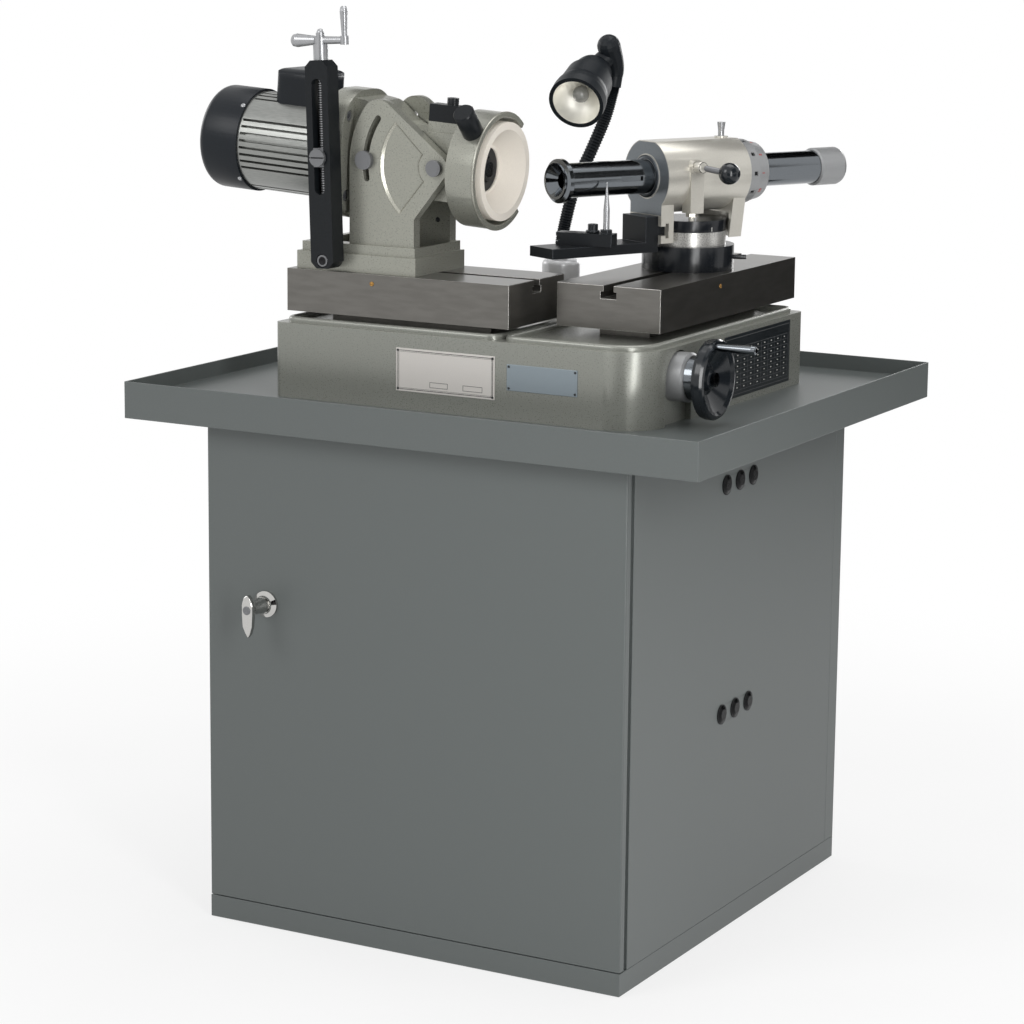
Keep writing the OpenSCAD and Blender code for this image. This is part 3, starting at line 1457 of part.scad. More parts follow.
// Smooth boot that turns on the gooseneck's collar, and the stepped shade
module lamp_shade() {
    r = shade_d / 2;
    sides = 16;
    n = 12;
    e = 0.002;
    start_r = neck_r + 1;
    d = bridge[1] - bridge[0];
    top_dir = unit(boot_route[3] - boot_route[2]);
    stem = [for (i = [0 : n]) let(t = i / n) ring(bezier(boot_route, t),
        bezier(boot_route, min(t + e, 1)) - bezier(boot_route, max(t - e, 0)),
        start_r + (boot_top_r - start_r) * t, sides)];
    dome = [for (a = [18 : 18 : 72]) ring(boot_route[3] + top_dir * boot_top_r * sin(a), top_dir,
        boot_top_r * cos(a), sides)];
    rings = concat(stem, dome);
    last = len(rings) - 1;
    caps = [[for (k = [sides - 1 : -1 : 0]) k], [for (k = [0 : sides - 1]) last * sides + k]];
    skin = [for (f = loop_faces(last + 1, sides)) if (max(f) - min(f) < 2 * sides) f];
    color(black_col) {
        translate([0, 0, lamp_top + gap]) polyhedron([for (q = rings, p = q) p], concat(skin, caps));
        in_collar() translate([0, 0, 0.5]) cylinder(h = collar_len + 4, r = stub_r);
        translate(bridge[0] + [0, 0, lamp_top]) rotate([0, acos(d[2] / norm(d)), atan2(d[1], d[0])])
            cylinder(h = norm(d), r = bridge_r);
        in_shade() rotate_extrude() polygon([[0, -shade_len], [20, -shade_len], [24, -shade_len + 4],
            [26, -shade_len + 10], [28, -shade_len + 26], [32, -shade_len + 29], [r - 3, -30], [r - 1, -22],
            [r, -14], [r, 0], [r - 5, 0], [r - 6, -8], [22, -34], [0, -34]]);
    }
}

module lamp_bulb() {
    color(white_col) in_shade() {
        translate([0, 0, -34]) cylinder(h = 10, r = 7);
        translate([0, 0, -22]) sphere(11);
    }
}

plinth();
cabinet_floor();
left_side_panel();
right_side_panel();
back_panel();
front_frame();
hole_plugs();
swarf_tray();
door_pins();
door_panel();
latch_rosette();
latch_handle();
latch_cam();
base_casting();
slide_rails();
screw_hanger();
screw_boss();
feed_screw();
graduated_collar();
handwheel();
handwheel_grip();
left_table();
feed_nut();
pedestal();
pedestal_bolts();
pivot_bolts();
head_casting();
head_screws();
motor_housing();
stator();
fan_cover();
terminal_box();
bearings();
rotor();
cooling_fan();
grinding_wheel();
wheel_flanges();
wheel_guard();
guard_bar();
guard_knob();
adjuster_bar();
adjuster_screw();
adjuster_nut();
right_table();
swivel_base();
graduated_ring();
swivel_plate();
workhead_casting();
clamp_lever();
index_plunger();
index_sleeve();
spindle();
drawbar();
tooth_rest_bracket();
finger_holder();
finger();
lamp_foot();
lamp_neck();
lamp_shade();
lamp_bulb();
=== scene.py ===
"""Looks of a tool and cutter grinder on its cabinet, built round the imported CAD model.

The frame is the CAD's: +X right along the front, +Y to the back, +Z up. Blender works in metres.
Sizes below are millimetres unless a name says otherwise, and MM turns them into metres.
"""

import json
import math

import bpy
from mathutils import Matrix, Vector


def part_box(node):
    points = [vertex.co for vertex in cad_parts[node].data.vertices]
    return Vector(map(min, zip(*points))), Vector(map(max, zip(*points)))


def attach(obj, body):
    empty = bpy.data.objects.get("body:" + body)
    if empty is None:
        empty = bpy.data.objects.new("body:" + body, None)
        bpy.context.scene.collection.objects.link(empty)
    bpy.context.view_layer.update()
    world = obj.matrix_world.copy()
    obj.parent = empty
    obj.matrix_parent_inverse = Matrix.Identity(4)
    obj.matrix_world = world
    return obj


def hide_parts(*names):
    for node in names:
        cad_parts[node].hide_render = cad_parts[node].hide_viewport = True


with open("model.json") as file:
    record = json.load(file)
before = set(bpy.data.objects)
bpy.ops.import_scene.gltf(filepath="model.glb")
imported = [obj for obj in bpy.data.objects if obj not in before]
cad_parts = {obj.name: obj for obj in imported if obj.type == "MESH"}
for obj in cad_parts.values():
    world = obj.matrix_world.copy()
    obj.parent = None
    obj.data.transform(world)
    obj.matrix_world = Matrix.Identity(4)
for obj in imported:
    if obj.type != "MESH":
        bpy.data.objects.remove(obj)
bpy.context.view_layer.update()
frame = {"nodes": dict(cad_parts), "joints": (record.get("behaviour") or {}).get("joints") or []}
nodes = frame["nodes"]
joints = {j["name"]: j for j in frame["joints"]}
MM = 0.001
WELD_GAP = 0.01


# Frames that pieces are placed in
def turned(origin, x_axis, z_axis):
    """Frame at an origin in metres, whose X and Z run along the given directions."""
    x = Vector(x_axis).normalized()
    z = Vector(z_axis).normalized()
    made = Matrix((x, z.cross(x), z)).transposed().to_4x4()
    made.translation = Vector(origin)
    return made


def joint_place(name):
    """Place of a joint, in metres."""
    return Vector(joints[name]["pos_m"])


def joint_axis(name):
    """Direction of a joint's axis."""
    return Vector(joints[name]["axis"])


def spot(across, up, face):
    """Frame standing out of a flat face at a place on it."""
    return face @ Matrix.Translation((across * MM, up * MM, 0))


UP = Vector((0, 0, 1))
BACK = Vector((0, 1, 0))
RIGHT = Vector((1, 0, 0))
shaft = joint_axis("rotor_spin")
nose = joint_axis("index_turn")
bar_up = joint_axis("nut_travel")
swivel_at = joint_place("workhead_swivel")
HEAD = turned(joint_place("rotor_spin"), shaft, shaft.cross(BACK))
SPINDLE = turned(joint_place("index_turn"), UP.cross(nose), nose)
BAR = turned(joint_place("bar_swing"), BACK.cross(bar_up), bar_up)
FEED = turned(joint_place("handwheel_turn"), BACK, RIGHT)
SWIVEL = Matrix.Translation((swivel_at.x, swivel_at.y, 0))
WORK = turned((swivel_at.x, swivel_at.y, 0), UP.cross(nose), UP)
base_low, base_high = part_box("base_casting")
FRONT = turned((0, base_low.y, 0), RIGHT, -BACK)
SIDE = turned((base_high.x, 0, 0), BACK, RIGHT)


# Materials
NOISE_DETAIL = 3.0
RAMP_AT = (0.35, 0.65)
RELIEF_DEPTH = 0.3


def rgb(red, green, blue):
    """Linear colour from screen values of 0 to 255."""
    return tuple(((c / 255 + 0.055) / 1.055) ** 2.4 for c in (red, green, blue)) + (1.0,)


def noise(tree, scale, stretch):
    """Noise in the frame's metres, stretched along the axes."""
    coords = tree.nodes.new("ShaderNodeTexCoord")
    mapping = tree.nodes.new("ShaderNodeMapping")
    mapping.inputs["Scale"].default_value = stretch
    made = tree.nodes.new("ShaderNodeTexNoise")
    made.inputs["Scale"].default_value = scale
    made.inputs["Detail"].default_value = NOISE_DETAIL
    tree.links.new(coords.outputs["Object"], mapping.inputs["Vector"])
    tree.links.new(mapping.outputs["Vector"], made.inputs["Vector"])
    return made


def ramp(tree, source, low, high):
    """Two tones laid over a noise."""
    made = tree.nodes.new("ShaderNodeValToRGB")
    for element, place, tone in zip(made.color_ramp.elements, RAMP_AT, (low, high)):
        element.position = place
        element.color = tone
    tree.links.new(source.outputs["Fac"], made.inputs["Fac"])
    return made


def finish(name, dark, light, metallic=0.0, rough=(0.4, 0.5), grain=300, stretch=(1, 1, 1), relief=0.0,
           relief_grain=900, coat=0.0, coat_rough=0.1, shine=0.5):
    """Surface whose tone, gloss and relief wander a little, as real paint and metal do."""
    made = bpy.data.materials.new(name)
    made.use_nodes = True
    tree = made.node_tree
    shader = tree.nodes["Principled BSDF"]
    shader.inputs["Metallic"].default_value = metallic
    shader.inputs["Specular IOR Level"].default_value = shine
    shader.inputs["Coat Weight"].default_value = coat
    shader.inputs["Coat Roughness"].default_value = coat_rough
    tone = noise(tree, grain, stretch)
    tree.links.new(ramp(tree, tone, rgb(*dark), rgb(*light)).outputs["Color"], shader.inputs["Base Color"])
    gloss = ramp(tree, tone, (rough[0],) * 3 + (1,), (rough[1],) * 3 + (1,))
    tree.links.new(gloss.outputs["Color"], shader.inputs["Roughness"])
    if relief > 0:
        bump = tree.nodes.new("ShaderNodeBump")
        bump.inputs["Strength"].default_value = relief
        bump.inputs["Distance"].default_value = RELIEF_DEPTH * MM
        tree.links.new(noise(tree, relief_grain, stretch).outputs["Fac"], bump.inputs["Height"])
        tree.links.new(bump.outputs["Normal"], shader.inputs["Normal"])
    return made


sheet_paint = finish("sheet_paint", (90, 95, 94), (94, 99, 98), rough=(0.42, 0.46), grain=1500,
                     relief=0.1, relief_grain=1100, coat=0.08, coat_rough=0.3)
base_paint = finish("base_paint", (136, 138, 131), (144, 145, 138), 0.3, (0.27, 0.31), 700,
                    relief=0.03, relief_grain=1000)
hammer_paint = finish("hammer_paint", (147, 148, 139), (156, 156, 146), 0.45, (0.27, 0.31), 700,
                      relief=0.03, relief_grain=1000)
# Lighter paint for the bevelled edges of the castings: a painted highlight along the edges
edge_highlight_paint = finish("edge_highlight_paint", (172, 171, 160), (182, 181, 170), 0.55, (0.24, 0.28), 900)
work_paint = finish("work_paint", (194, 191, 182), (203, 200, 191), 0.55, (0.28, 0.33), 800,
                    relief=0.12, relief_grain=700)
# Lighter paint for the workhead's bevelled edges: a painted highlight along the edges
work_edge_highlight = finish("work_edge_highlight", (208, 206, 197), (216, 214, 205), 0.4, (0.26, 0.3), 900)
table_steel = finish("table_steel", (107, 105, 101), (114, 112, 108), 0.9, (0.28, 0.3), 30, (1, 1, 5))
# Lighter steel for the tables' bevelled edges: a painted highlight along the edges
edge_highlight_steel = finish("edge_highlight_steel", (150, 149, 145), (166, 164, 160), 0.9, (0.26, 0.32), 900)
bright_steel = finish("bright_steel", (112, 116, 120), (116, 120, 124), 1.0, (0.13, 0.14), 900)
ring_steel = finish("ring_steel", (186, 185, 181), (192, 191, 187), 0.5, (0.26, 0.3), 900)
satin_steel = finish("satin_steel", (160, 161, 163), (166, 167, 169), 0.7, (0.3, 0.34), 1200)
bolt_steel = finish("bolt_steel", (112, 113, 115), (120, 121, 123), 0.5, (0.32, 0.38), 1200)
screw_steel = finish("screw_steel", (34, 35, 37), (40, 41, 43), 0.3, (0.3, 0.36), 1200)
chrome = finish("latch_chrome", (188, 187, 184), (194, 193, 190), 1.0, (0.07, 0.09), 900)
black_paint = finish("black_paint", (20, 23, 26), (24, 27, 30), rough=(0.3, 0.36), grain=500,
                     relief=0.04, shine=0.22)
# Lighter black for the bevelled edges of the black parts: a painted highlight along the edges
black_edge_highlight = finish("black_edge_highlight", (46, 49, 53), (56, 59, 63), 0.5, (0.3, 0.36), 900)
cast_black = finish("cast_black", (22, 25, 29), (26, 29, 33), rough=(0.22, 0.25), grain=900, shine=0.36)
cover_black = finish("cover_black", (24, 28, 33), (29, 33, 38), rough=(0.3, 0.36), grain=900, shine=0.22)
gloss_black = finish("gloss_black", (27, 31, 35), (31, 35, 39), rough=(0.14, 0.18), grain=900, shine=0.4)
plug_black = finish("plug_black", (11, 12, 13), (14, 15, 16), rough=(0.24, 0.3), grain=900, shine=0.12)
alloy = finish("motor_alloy", (138, 140, 137), (152, 153, 150), 0.85, (0.28, 0.34), 400, (0.2, 3, 3))
abrasive = finish("abrasive_white", (230, 223, 212), (240, 233, 222), rough=(0.8, 0.9), grain=1400,
                  relief=0.2, relief_grain=2600)
dark_steel = finish("dark_steel", (42, 44, 46), (54, 56, 58), 0.6, (0.34, 0.44), 300)
machined_grey = finish("machined_grey", (118, 123, 127), (126, 131, 135), 0.7, (0.28, 0.34), 700)
bore_grey = finish("bore_grey", (44, 49, 54), (52, 57, 62), 0.6, (0.3, 0.36), 900)
bronze = finish("bronze", (150, 112, 62), (176, 136, 80), 1.0, (0.3, 0.42), 200)
winding = finish("winding", (124, 72, 38), (152, 94, 54), 0.6, (0.4, 0.5), 500, (1, 9, 9))
grey_metal = finish("grey_metal", (148, 149, 150), (154, 155, 156), 0.35, (0.36, 0.42), 1500)
reflector = finish("reflector", (248, 246, 238), (250, 248, 240), 0.6, (0.4, 0.44), 2000)
bulb_glass = finish("bulb_glass", (132, 132, 128), (142, 142, 138), rough=(0.08, 0.12), grain=300)
lamp_black = finish("lamp_black", (22, 26, 30), (26, 30, 34), rough=(0.42, 0.48), grain=900, shine=0.2)
ink = finish("ink_black", (20, 20, 22), (26, 26, 28), rough=(0.5, 0.6), shine=0.2)
red_ink = finish("ink_red", (160, 36, 30), (178, 44, 36), rough=(0.5, 0.6))
white_ink = finish("ink_white", (206, 206, 200), (218, 218, 212), rough=(0.5, 0.6))
foot_paint = finish("foot_paint", (216, 216, 218), (222, 222, 224), 0.2, (0.3, 0.36), 1500)
plate_white = finish("plate_white", (211, 207, 202), (215, 211, 206), 0.1, (0.36, 0.42), 1500)
plate_blue = finish("plate_blue", (138, 149, 156), (142, 153, 160), 0.25, (0.32, 0.38), 1500)
faint_ink = finish("faint_ink", (96, 97, 98), (104, 105, 106), rough=(0.5, 0.6), shine=0.2)
plate_black = finish("plate_black", (26, 30, 33), (32, 36, 39), rough=(0.3, 0.38), grain=80, shine=0.3)

looks = {
    sheet_paint: ["plinth", "cabinet_floor", "left_side_panel", "right_side_panel", "back_panel",
                  "front_frame", "swarf_tray", "door_panel"],
    plug_black: ["hole_plugs"],
    base_paint: ["base_casting", "screw_hanger"],
    hammer_paint: ["pedestal", "head_casting", "wheel_guard"],
    grey_metal: ["screw_boss", "drawbar", "index_sleeve"],
    foot_paint: ["lamp_foot"],
    work_paint: ["workhead_casting"],
    table_steel: ["slide_rails", "left_table", "right_table"],
    bright_steel: ["spindle", "feed_screw", "rotor", "graduated_collar", "handwheel_grip", "bearings",
                   "door_pins"],
    ring_steel: ["graduated_ring"],
    satin_steel: ["latch_cam", "adjuster_screw", "finger", "index_plunger"],
    bolt_steel: ["pivot_bolts", "head_screws", "adjuster_nut"],
    chrome: ["latch_rosette", "latch_handle"],
    black_paint: ["adjuster_bar", "tooth_rest_bracket", "finger_holder", "guard_bar", "guard_knob",
                  "pedestal_bolts"],
    lamp_black: ["lamp_neck", "lamp_shade"],
    cast_black: ["swivel_base", "swivel_plate"],
    cover_black: ["fan_cover", "terminal_box", "cooling_fan"],
    gloss_black: ["handwheel", "clamp_lever"],
    alloy: ["motor_housing"],
    abrasive: ["grinding_wheel"],
    dark_steel: ["wheel_flanges"],
    bronze: ["feed_nut"],
    winding: ["stator"],
    bulb_glass: ["lamp_bulb"],
}
for material, names in looks.items():
    for name in names:
        slots = nodes[name].data.materials
        slots.clear()
        slots.append(material)


# Rounded edges on the CAD nodes, some in a second, lighter material that paints a highlight along them
EDGE_ANGLE_DEG = 38
CAST_EDGE = 1.8
PANEL_EDGE = 1.2
SHEET_EDGE = 0.8
TABLE_EDGE = 0.6
SMALL_EDGE = 1.2


def soften(name, width, edge_highlight_material=None, segments=3):
    """Bevel a node's sharp edges, and give the bevels a lighter edge material, a painted highlight, where
    one is given.
    """
    node = nodes[name]
    node.modifiers.new("joined", "WELD").merge_threshold = WELD_GAP * MM
    edges = node.modifiers.new("edges", "BEVEL")
    edges.width = width * MM
    edges.segments = segments
    edges.limit_method = "ANGLE"
    edges.angle_limit = math.radians(EDGE_ANGLE_DEG)
    edges.harden_normals = True
    if edge_highlight_material is not None:
        node.data.materials.append(edge_highlight_material)
        edges.material = len(node.data.materials) - 1


soften("head_casting", CAST_EDGE)
soften("workhead_casting", PANEL_EDGE, work_edge_highlight)
for name in ("base_casting", "wheel_guard", "pedestal"):
    soften(name, PANEL_EDGE, edge_highlight_paint)
for name in ("swarf_tray", "door_panel", "plinth", "right_side_panel", "left_side_panel", "back_panel"):
    soften(name, SHEET_EDGE)
for name in ("left_table", "right_table"):
    soften(name, TABLE_EDGE, edge_highlight_steel, 2)
for name in ("adjuster_bar", "tooth_rest_bracket", "finger_holder", "guard_bar"):
    soften(name, TABLE_EDGE, black_edge_highlight, 2)
for name in ("fan_cover", "terminal_box", "guard_knob", "lamp_foot", "swivel_base", "swivel_plate"):
    soften(name, SMALL_EDGE)
# Bolt and nut edges in the lighter satin steel: a painted highlight
for name in ("pivot_bolts", "adjuster_nut"):
    soften(name, TABLE_EDGE, satin_steel, 2)


# Builders of the pieces that the looks add to the CAD model
LINE_SINK = 0.3
LINE_LIFT = 0.12
PLATE_EDGE = 0.35
BOLD_SHARE = 0.03


def piece(name, points, faces, place, material, body, slot, smooth=False):
    """Mesh from points in millimetres in a frame, riding on a body."""
    mesh = bpy.data.meshes.new(name)
    mesh.from_pydata([place @ (Vector(p) * MM) for p in points], [], faces)
    mesh.materials.append(material)
    if smooth:
        mesh.shade_smooth()
    made = bpy.data.objects.new(name, mesh)
    bpy.context.scene.collection.objects.link(made)
    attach(made, body)
    return made


def lathe(name, profile, place, material, body, slot, sides=48):
    """Skin of revolution about the frame's Z, from (radius, height) pairs."""
    points = []
    faces = []
    rows = len(profile)
    for k in range(sides):
        a = 2 * math.pi * k / sides
        points += [(r * math.cos(a), r * math.sin(a), z) for r, z in profile]
        n = (k + 1) % sides
        faces += [(k * rows + i, n * rows + i, n * rows + i + 1, k * rows + i + 1) for i in range(rows - 1)]
    made = piece(name, points, faces, place, material, body, slot, True)
    made.modifiers.new("joined", "WELD").merge_threshold = WELD_GAP * MM


def boxes(cells):
    """Points and faces of boxes, each given as its low and high corner."""
    points = []
    faces = []
    for low, high in cells:
        n = len(points)
        for z in (low[2], high[2]):
            points += [(low[0], low[1], z), (high[0], low[1], z)]
            points += [(high[0], high[1], z), (low[0], high[1], z)]
        faces.append((n + 3, n + 2, n + 1, n))
        faces.append((n + 4, n + 5, n + 6, n + 7))
        for i in range(4):
            j = (i + 1) % 4
            faces.append((n + i, n + j, n + 4 + j, n + 4 + i))
    return points, faces


def lines(name, rects, height, place, material, body, slot):
    """Flat rules on a plate, each given as left, low, right, top."""
    under = height - LINE_SINK
    over = height + LINE_LIFT
    points, faces = boxes([((a, b, under), (c, d, over)) for a, b, c, d in rects])
    piece(name, points, faces, place, material, body, slot)


def outline_rects(left, low, right, top, width):
    """Four rules round a rectangle, inside its edges."""
    return [(left, low, right, low + width), (left, top - width, right, top),
            (left, low, left + width, top), (right - width, low, right, top)]


def plate(name, size, thick, place, material, body, slot):
    """Thin plate with a softened edge, centred on its frame."""
    half_w = size[0] / 2
    half_h = size[1] / 2
    points, faces = boxes([((-half_w, -half_h, 0), (half_w, half_h, thick))])
    made = piece(name, points, faces, place, material, body, slot)
    edges = made.modifiers.new("edges", "BEVEL")
    edges.width = PLATE_EDGE * MM
    edges.segments = 2


def wrapped(items, radius):
    """Points and faces of marks round a cylinder: angle, low, high and width of each."""
    points = []
    faces = []
    for angle, low, high, width in items:
        p, f = boxes([((radius - LINE_SINK, -width / 2, low), (radius + LINE_LIFT, width / 2, high))])
        turn = Matrix.Rotation(math.radians(angle), 3, "Z")
        faces += [tuple(i + len(points) for i in face) for face in f]
        points += [turn @ Vector(q) for q in p]
    return points, faces


def numbers(name, labels, radius, height, size, place, material, body, slot, slope=0.0):
    """Figures round a cylinder or a cone, tops towards +Z: an angle and a number for each."""
    points = []
    faces = []
    for angle, value in labels:
        curve = bpy.data.curves.new(name, "FONT")
        curve.body = str(value)
        curve.size = size
        curve.align_x = "CENTER"
        curve.extrude = LINE_LIFT
        curve.offset = BOLD_SHARE * size
        writing = bpy.data.objects.new(name, curve)
        mesh = bpy.data.meshes.new_from_object(writing)
        turn = Matrix.Rotation(math.radians(angle), 3, "Z")
        faces += [tuple(i + len(points) for i in f.vertices) for f in mesh.polygons]
        points += [turn @ Vector((radius + v.co.z + slope * v.co.y, v.co.x, height + v.co.y))
                   for v in mesh.vertices]
        bpy.data.objects.remove(writing)
        bpy.data.meshes.remove(mesh)
        bpy.data.curves.remove(curve)
    piece(name, points, faces, place, material, body, slot)


def dome(radius, rise):
    """Profile of a low round head."""
    shares = ((1.0, 0.0), (1.0, 0.4), (0.9, 0.7), (0.6, 0.95), (0.0, 1.0))
    return [(radius * across, rise * up) for across, up in shares]


# Plates on the front of the base: one ruled for a name and number, one bare
PLATE_T = 1.0
FIRST_PLATE = (143, 55)
SECOND_PLATE = (99, 33)
FIRST_AT = (1, 738)
SECOND_AT = (139, 741)
FRAME_RULES = ((2.5, 0.7), (4.2, 0.35))
BLANK_BOXES = ((-22, -20, 4, -13), (26, -20, 54, -13))
BLANK_LINE = 0.5
first_at = spot(*FIRST_AT, FRONT)
second_at = spot(*SECOND_AT, FRONT)
plate("front_plate", FIRST_PLATE, PLATE_T, first_at, plate_white, "stand", "bright_steel")
half_w, half_h = FIRST_PLATE[0] / 2, FIRST_PLATE[1] / 2
plate_rules = []
for inset, width in FRAME_RULES:
    plate_rules += outline_rects(-half_w + inset, -half_h + inset, half_w - inset, half_h - inset, width)
for blank in BLANK_BOXES:
    plate_rules += outline_rects(*blank, BLANK_LINE)
lines("front_plate_rules", plate_rules, PLATE_T, first_at, ink, "stand", "black_steel")
plate("second_plate", SECOND_PLATE, PLATE_T, second_at, plate_blue, "stand", "bright_steel")
RIVET = dome(radius=1.6, rise=0.8)
RIVET_IN = 3
on_plate = Matrix.Translation((0, 0, PLATE_T * MM))
for label, at, size in (("first", first_at, FIRST_PLATE), ("second", second_at, SECOND_PLATE)):
    for i, (sx, sy) in enumerate(((-1, -1), (1, -1), (1, 1), (-1, 1))):
        seat = spot(sx * (size[0] / 2 - RIVET_IN), sy * (size[1] / 2 - RIVET_IN), at) @ on_plate
        lathe(f"{label}_plate_rivet_{i + 1}", RIVET, seat, dark_steel, "stand", "black_steel", sides=20)

# Data plate on the right of the base, a blank ruled table
DATA_PLATE = (202, 82)
DATA_COLUMNS = 9
DATA_ROWS = 8
DATA_AT = (79, 737)
DATA_MARGIN = 8
DATA_FOOT = 9
DATA_HEAD = 17
BORDER_OUT = 5
BORDER_LINE = 0.6
RULE_HALF = 0.2
data_at = spot(*DATA_AT, SIDE)
plate("data_plate", DATA_PLATE, PLATE_T, data_at, plate_black, "stand", "black_steel")
left = -DATA_PLATE[0] / 2 + DATA_MARGIN
low = -DATA_PLATE[1] / 2 + DATA_FOOT
cell_w = (DATA_PLATE[0] - 2 * DATA_MARGIN) / DATA_COLUMNS
cell_h = (DATA_PLATE[1] - DATA_FOOT - DATA_HEAD) / DATA_ROWS
top = low + DATA_ROWS * cell_h
table_rules = outline_rects(left - BORDER_OUT, low - BORDER_OUT, -left + BORDER_OUT, -low + BORDER_OUT,
                            BORDER_LINE)
for r in range(DATA_ROWS + 1):
    z = low + r * cell_h
    table_rules.append((left, z - RULE_HALF, -left, z + RULE_HALF))
for c in range(DATA_COLUMNS + 1):
    x = left + c * cell_w
    table_rules.append((x - RULE_HALF, low, x + RULE_HALF, top))
lines("data_plate_rules", table_rules, PLATE_T, data_at, faint_ink, "stand", "bright_steel")
DASH = (3.0, 1.2)
dashes = []
for c in range(DATA_COLUMNS):
    for r in range(DATA_ROWS):
        x = left + (c + 0.5) * cell_w
        z = low + (r + 0.5) * cell_h
        dashes.append((x - DASH[0] / 2, z - DASH[1] / 2, x + DASH[0] / 2, z + DASH[1] / 2))
lines("data_plate_entries", dashes, PLATE_T, data_at, white_ink, "stand", "bright_steel")

# Pointed wing of the door latch with its neck, spindle and screw, in place of the plain CAD wing
rosette_low, rosette_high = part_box("latch_rosette")
handle_low, handle_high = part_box("latch_handle")
latch_at = joint_place("latch_turn")
LATCH = turned((latch_at.x, rosette_high.y, latch_at.z), RIGHT, -BACK)
WING_T = 8
WING_HALF = 8
WING_ROUND = 1.6
NECK_R = 8
NECK_COLLAR_R = 10.5
NECK_GAP = 0.3
LATCH_SPINDLE_R = 5
wing_up = (handle_high.z - latch_at.z) / MM
wing_down = (latch_at.z - handle_low.z) / MM
wing_front = (rosette_high.y - handle_low.y) / MM
spindle_end = (rosette_high.y - handle_high.y) / MM
wing = [(1, -wing_down), (4, -wing_down + 5), (7, -0.6 * wing_down), (WING_HALF, -6), (WING_HALF, 6),
        (7, 0.5 * wing_up), (4, wing_up - 4), (0, wing_up), (-5, wing_up - 4), (-7, 0.5 * wing_up),
        (-WING_HALF, 6), (-WING_HALF, -6), (-7, -0.6 * wing_down), (-3, -wing_down + 6)]
points = [(x, y, z) for z in (wing_front - WING_T, wing_front) for x, y in wing]
count = len(wing)
faces = [tuple(range(count - 1, -1, -1)), tuple(range(count, 2 * count))]
faces += [(i, (i + 1) % count, count + (i + 1) % count, count + i) for i in range(count)]
latch_wing = piece("latch_wing", points, faces, LATCH, chrome, "latch", "bright_steel")
rounding = latch_wing.modifiers.new("edges", "BEVEL")
rounding.width = WING_ROUND * MM
rounding.segments = 3
rounding.limit_method = "ANGLE"
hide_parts("latch_handle")
rosette_out = (rosette_high.y - rosette_low.y) / MM
neck = [(LATCH_SPINDLE_R, spindle_end), (LATCH_SPINDLE_R, rosette_out + NECK_GAP),
        (NECK_COLLAR_R, rosette_out + NECK_GAP), (NECK_COLLAR_R, rosette_out + 5),
        (NECK_R + 0.6, rosette_out + 12), (NECK_R, wing_front - WING_T)]
lathe("latch_neck", neck, LATCH, chrome, "latch", "bright_steel")
screw = [(5.6, wing_front - LINE_SINK), (5.6, wing_front + 0.5), (4.8, wing_front + 0.8),
         (3.4, wing_front + 0.5), (2.6, wing_front + 0.1), (0, wing_front + 0.1)]
lathe("latch_screw", screw, LATCH, bolt_steel, "latch", "bright_steel", sides=32)

# Oilers in the tables
OILER_AT_LEFT = (-119, 840)
OILER_AT_RIGHT = (16, 838)
left_face = turned((0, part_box("left_table")[0].y, 0), RIGHT, -BACK)
right_face = turned((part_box("right_table")[1].x, 0, 0), BACK, RIGHT)
oiler = [(3.0, 0), (3.0, 0.7), (2.2, 0.9), (2.0, 0.5), (1.4, 0.9), (0, 1.1)]
lathe("oiler_left", oiler, spot(*OILER_AT_LEFT, left_face), bronze, "left_slide", "bronze", sides=24)
lathe("oiler_right", oiler, spot(*OILER_AT_RIGHT, right_face), bronze, "right_slide", "bronze", sides=24)

# Screws round the fan cover
COVER_LAP = 3.5
MOTOR_END = -298
COVER_R = 67
COVER_SCREW = dome(radius=3.2, rise=1.6)
COVER_ANGLES = (45, 135, 225, 315)
for i, angle in enumerate(COVER_ANGLES):
    a = math.radians(angle)
    out = Vector((0, math.cos(a), math.sin(a)))
    seat = HEAD @ turned(Vector((MOTOR_END + COVER_LAP, COVER_R * out.y, COVER_R * out.z)) * MM, RIGHT, out)
    lathe(f"cover_screw_{i + 1}", COVER_SCREW, seat, satin_steel, "wheel_head", "bright_steel", sides=24)

# Graduations of the cross feed collar
COLLAR_R = 27.5
COLLAR_MARKS = 50
COLLAR_END = 12.3
COLLAR_SHORT = 3.5
COLLAR_LONG = 5.5
LONG_EVERY = 5
COLLAR_LINE = 0.45
MARK_GAP = 0.6
collar_items = []
for i in range(COLLAR_MARKS):
    reach = COLLAR_LONG if i % LONG_EVERY == 0 else COLLAR_SHORT
    collar_items.append((360 * i / COLLAR_MARKS, COLLAR_END - reach, COLLAR_END - MARK_GAP, COLLAR_LINE))
piece("collar_marks", *wrapped(collar_items, COLLAR_R), FEED, ink, "feed_drive", "black_steel")

# Graduations of the swivel ring, and the white mark on the plate above it
RING_R = 49
RING_TOP = 902
RING_STEP = 5
RING_SHORT = 4
RING_LONG = 6
RING_LINE = 0.3
ring_items = []
for i in range(0, 360, RING_STEP):
    reach = RING_LONG if i % (2 * RING_STEP) == 0 else RING_SHORT
    ring_items.append((i, RING_TOP - reach, RING_TOP - MARK_GAP, RING_LINE))
piece("ring_marks", *wrapped(ring_items, RING_R), SWIVEL, faint_ink, "right_slide", "black_steel")
MARK_ANGLE = -26
MARK_SPAN = (1.5, 7)
MARK_LINE = 0.9
mark = [(MARK_ANGLE, RING_TOP + MARK_SPAN[0], RING_TOP + MARK_SPAN[1], MARK_LINE)]
piece("swivel_mark", *wrapped(mark, RING_R), SWIVEL, white_ink, "swivel", "bright_steel")

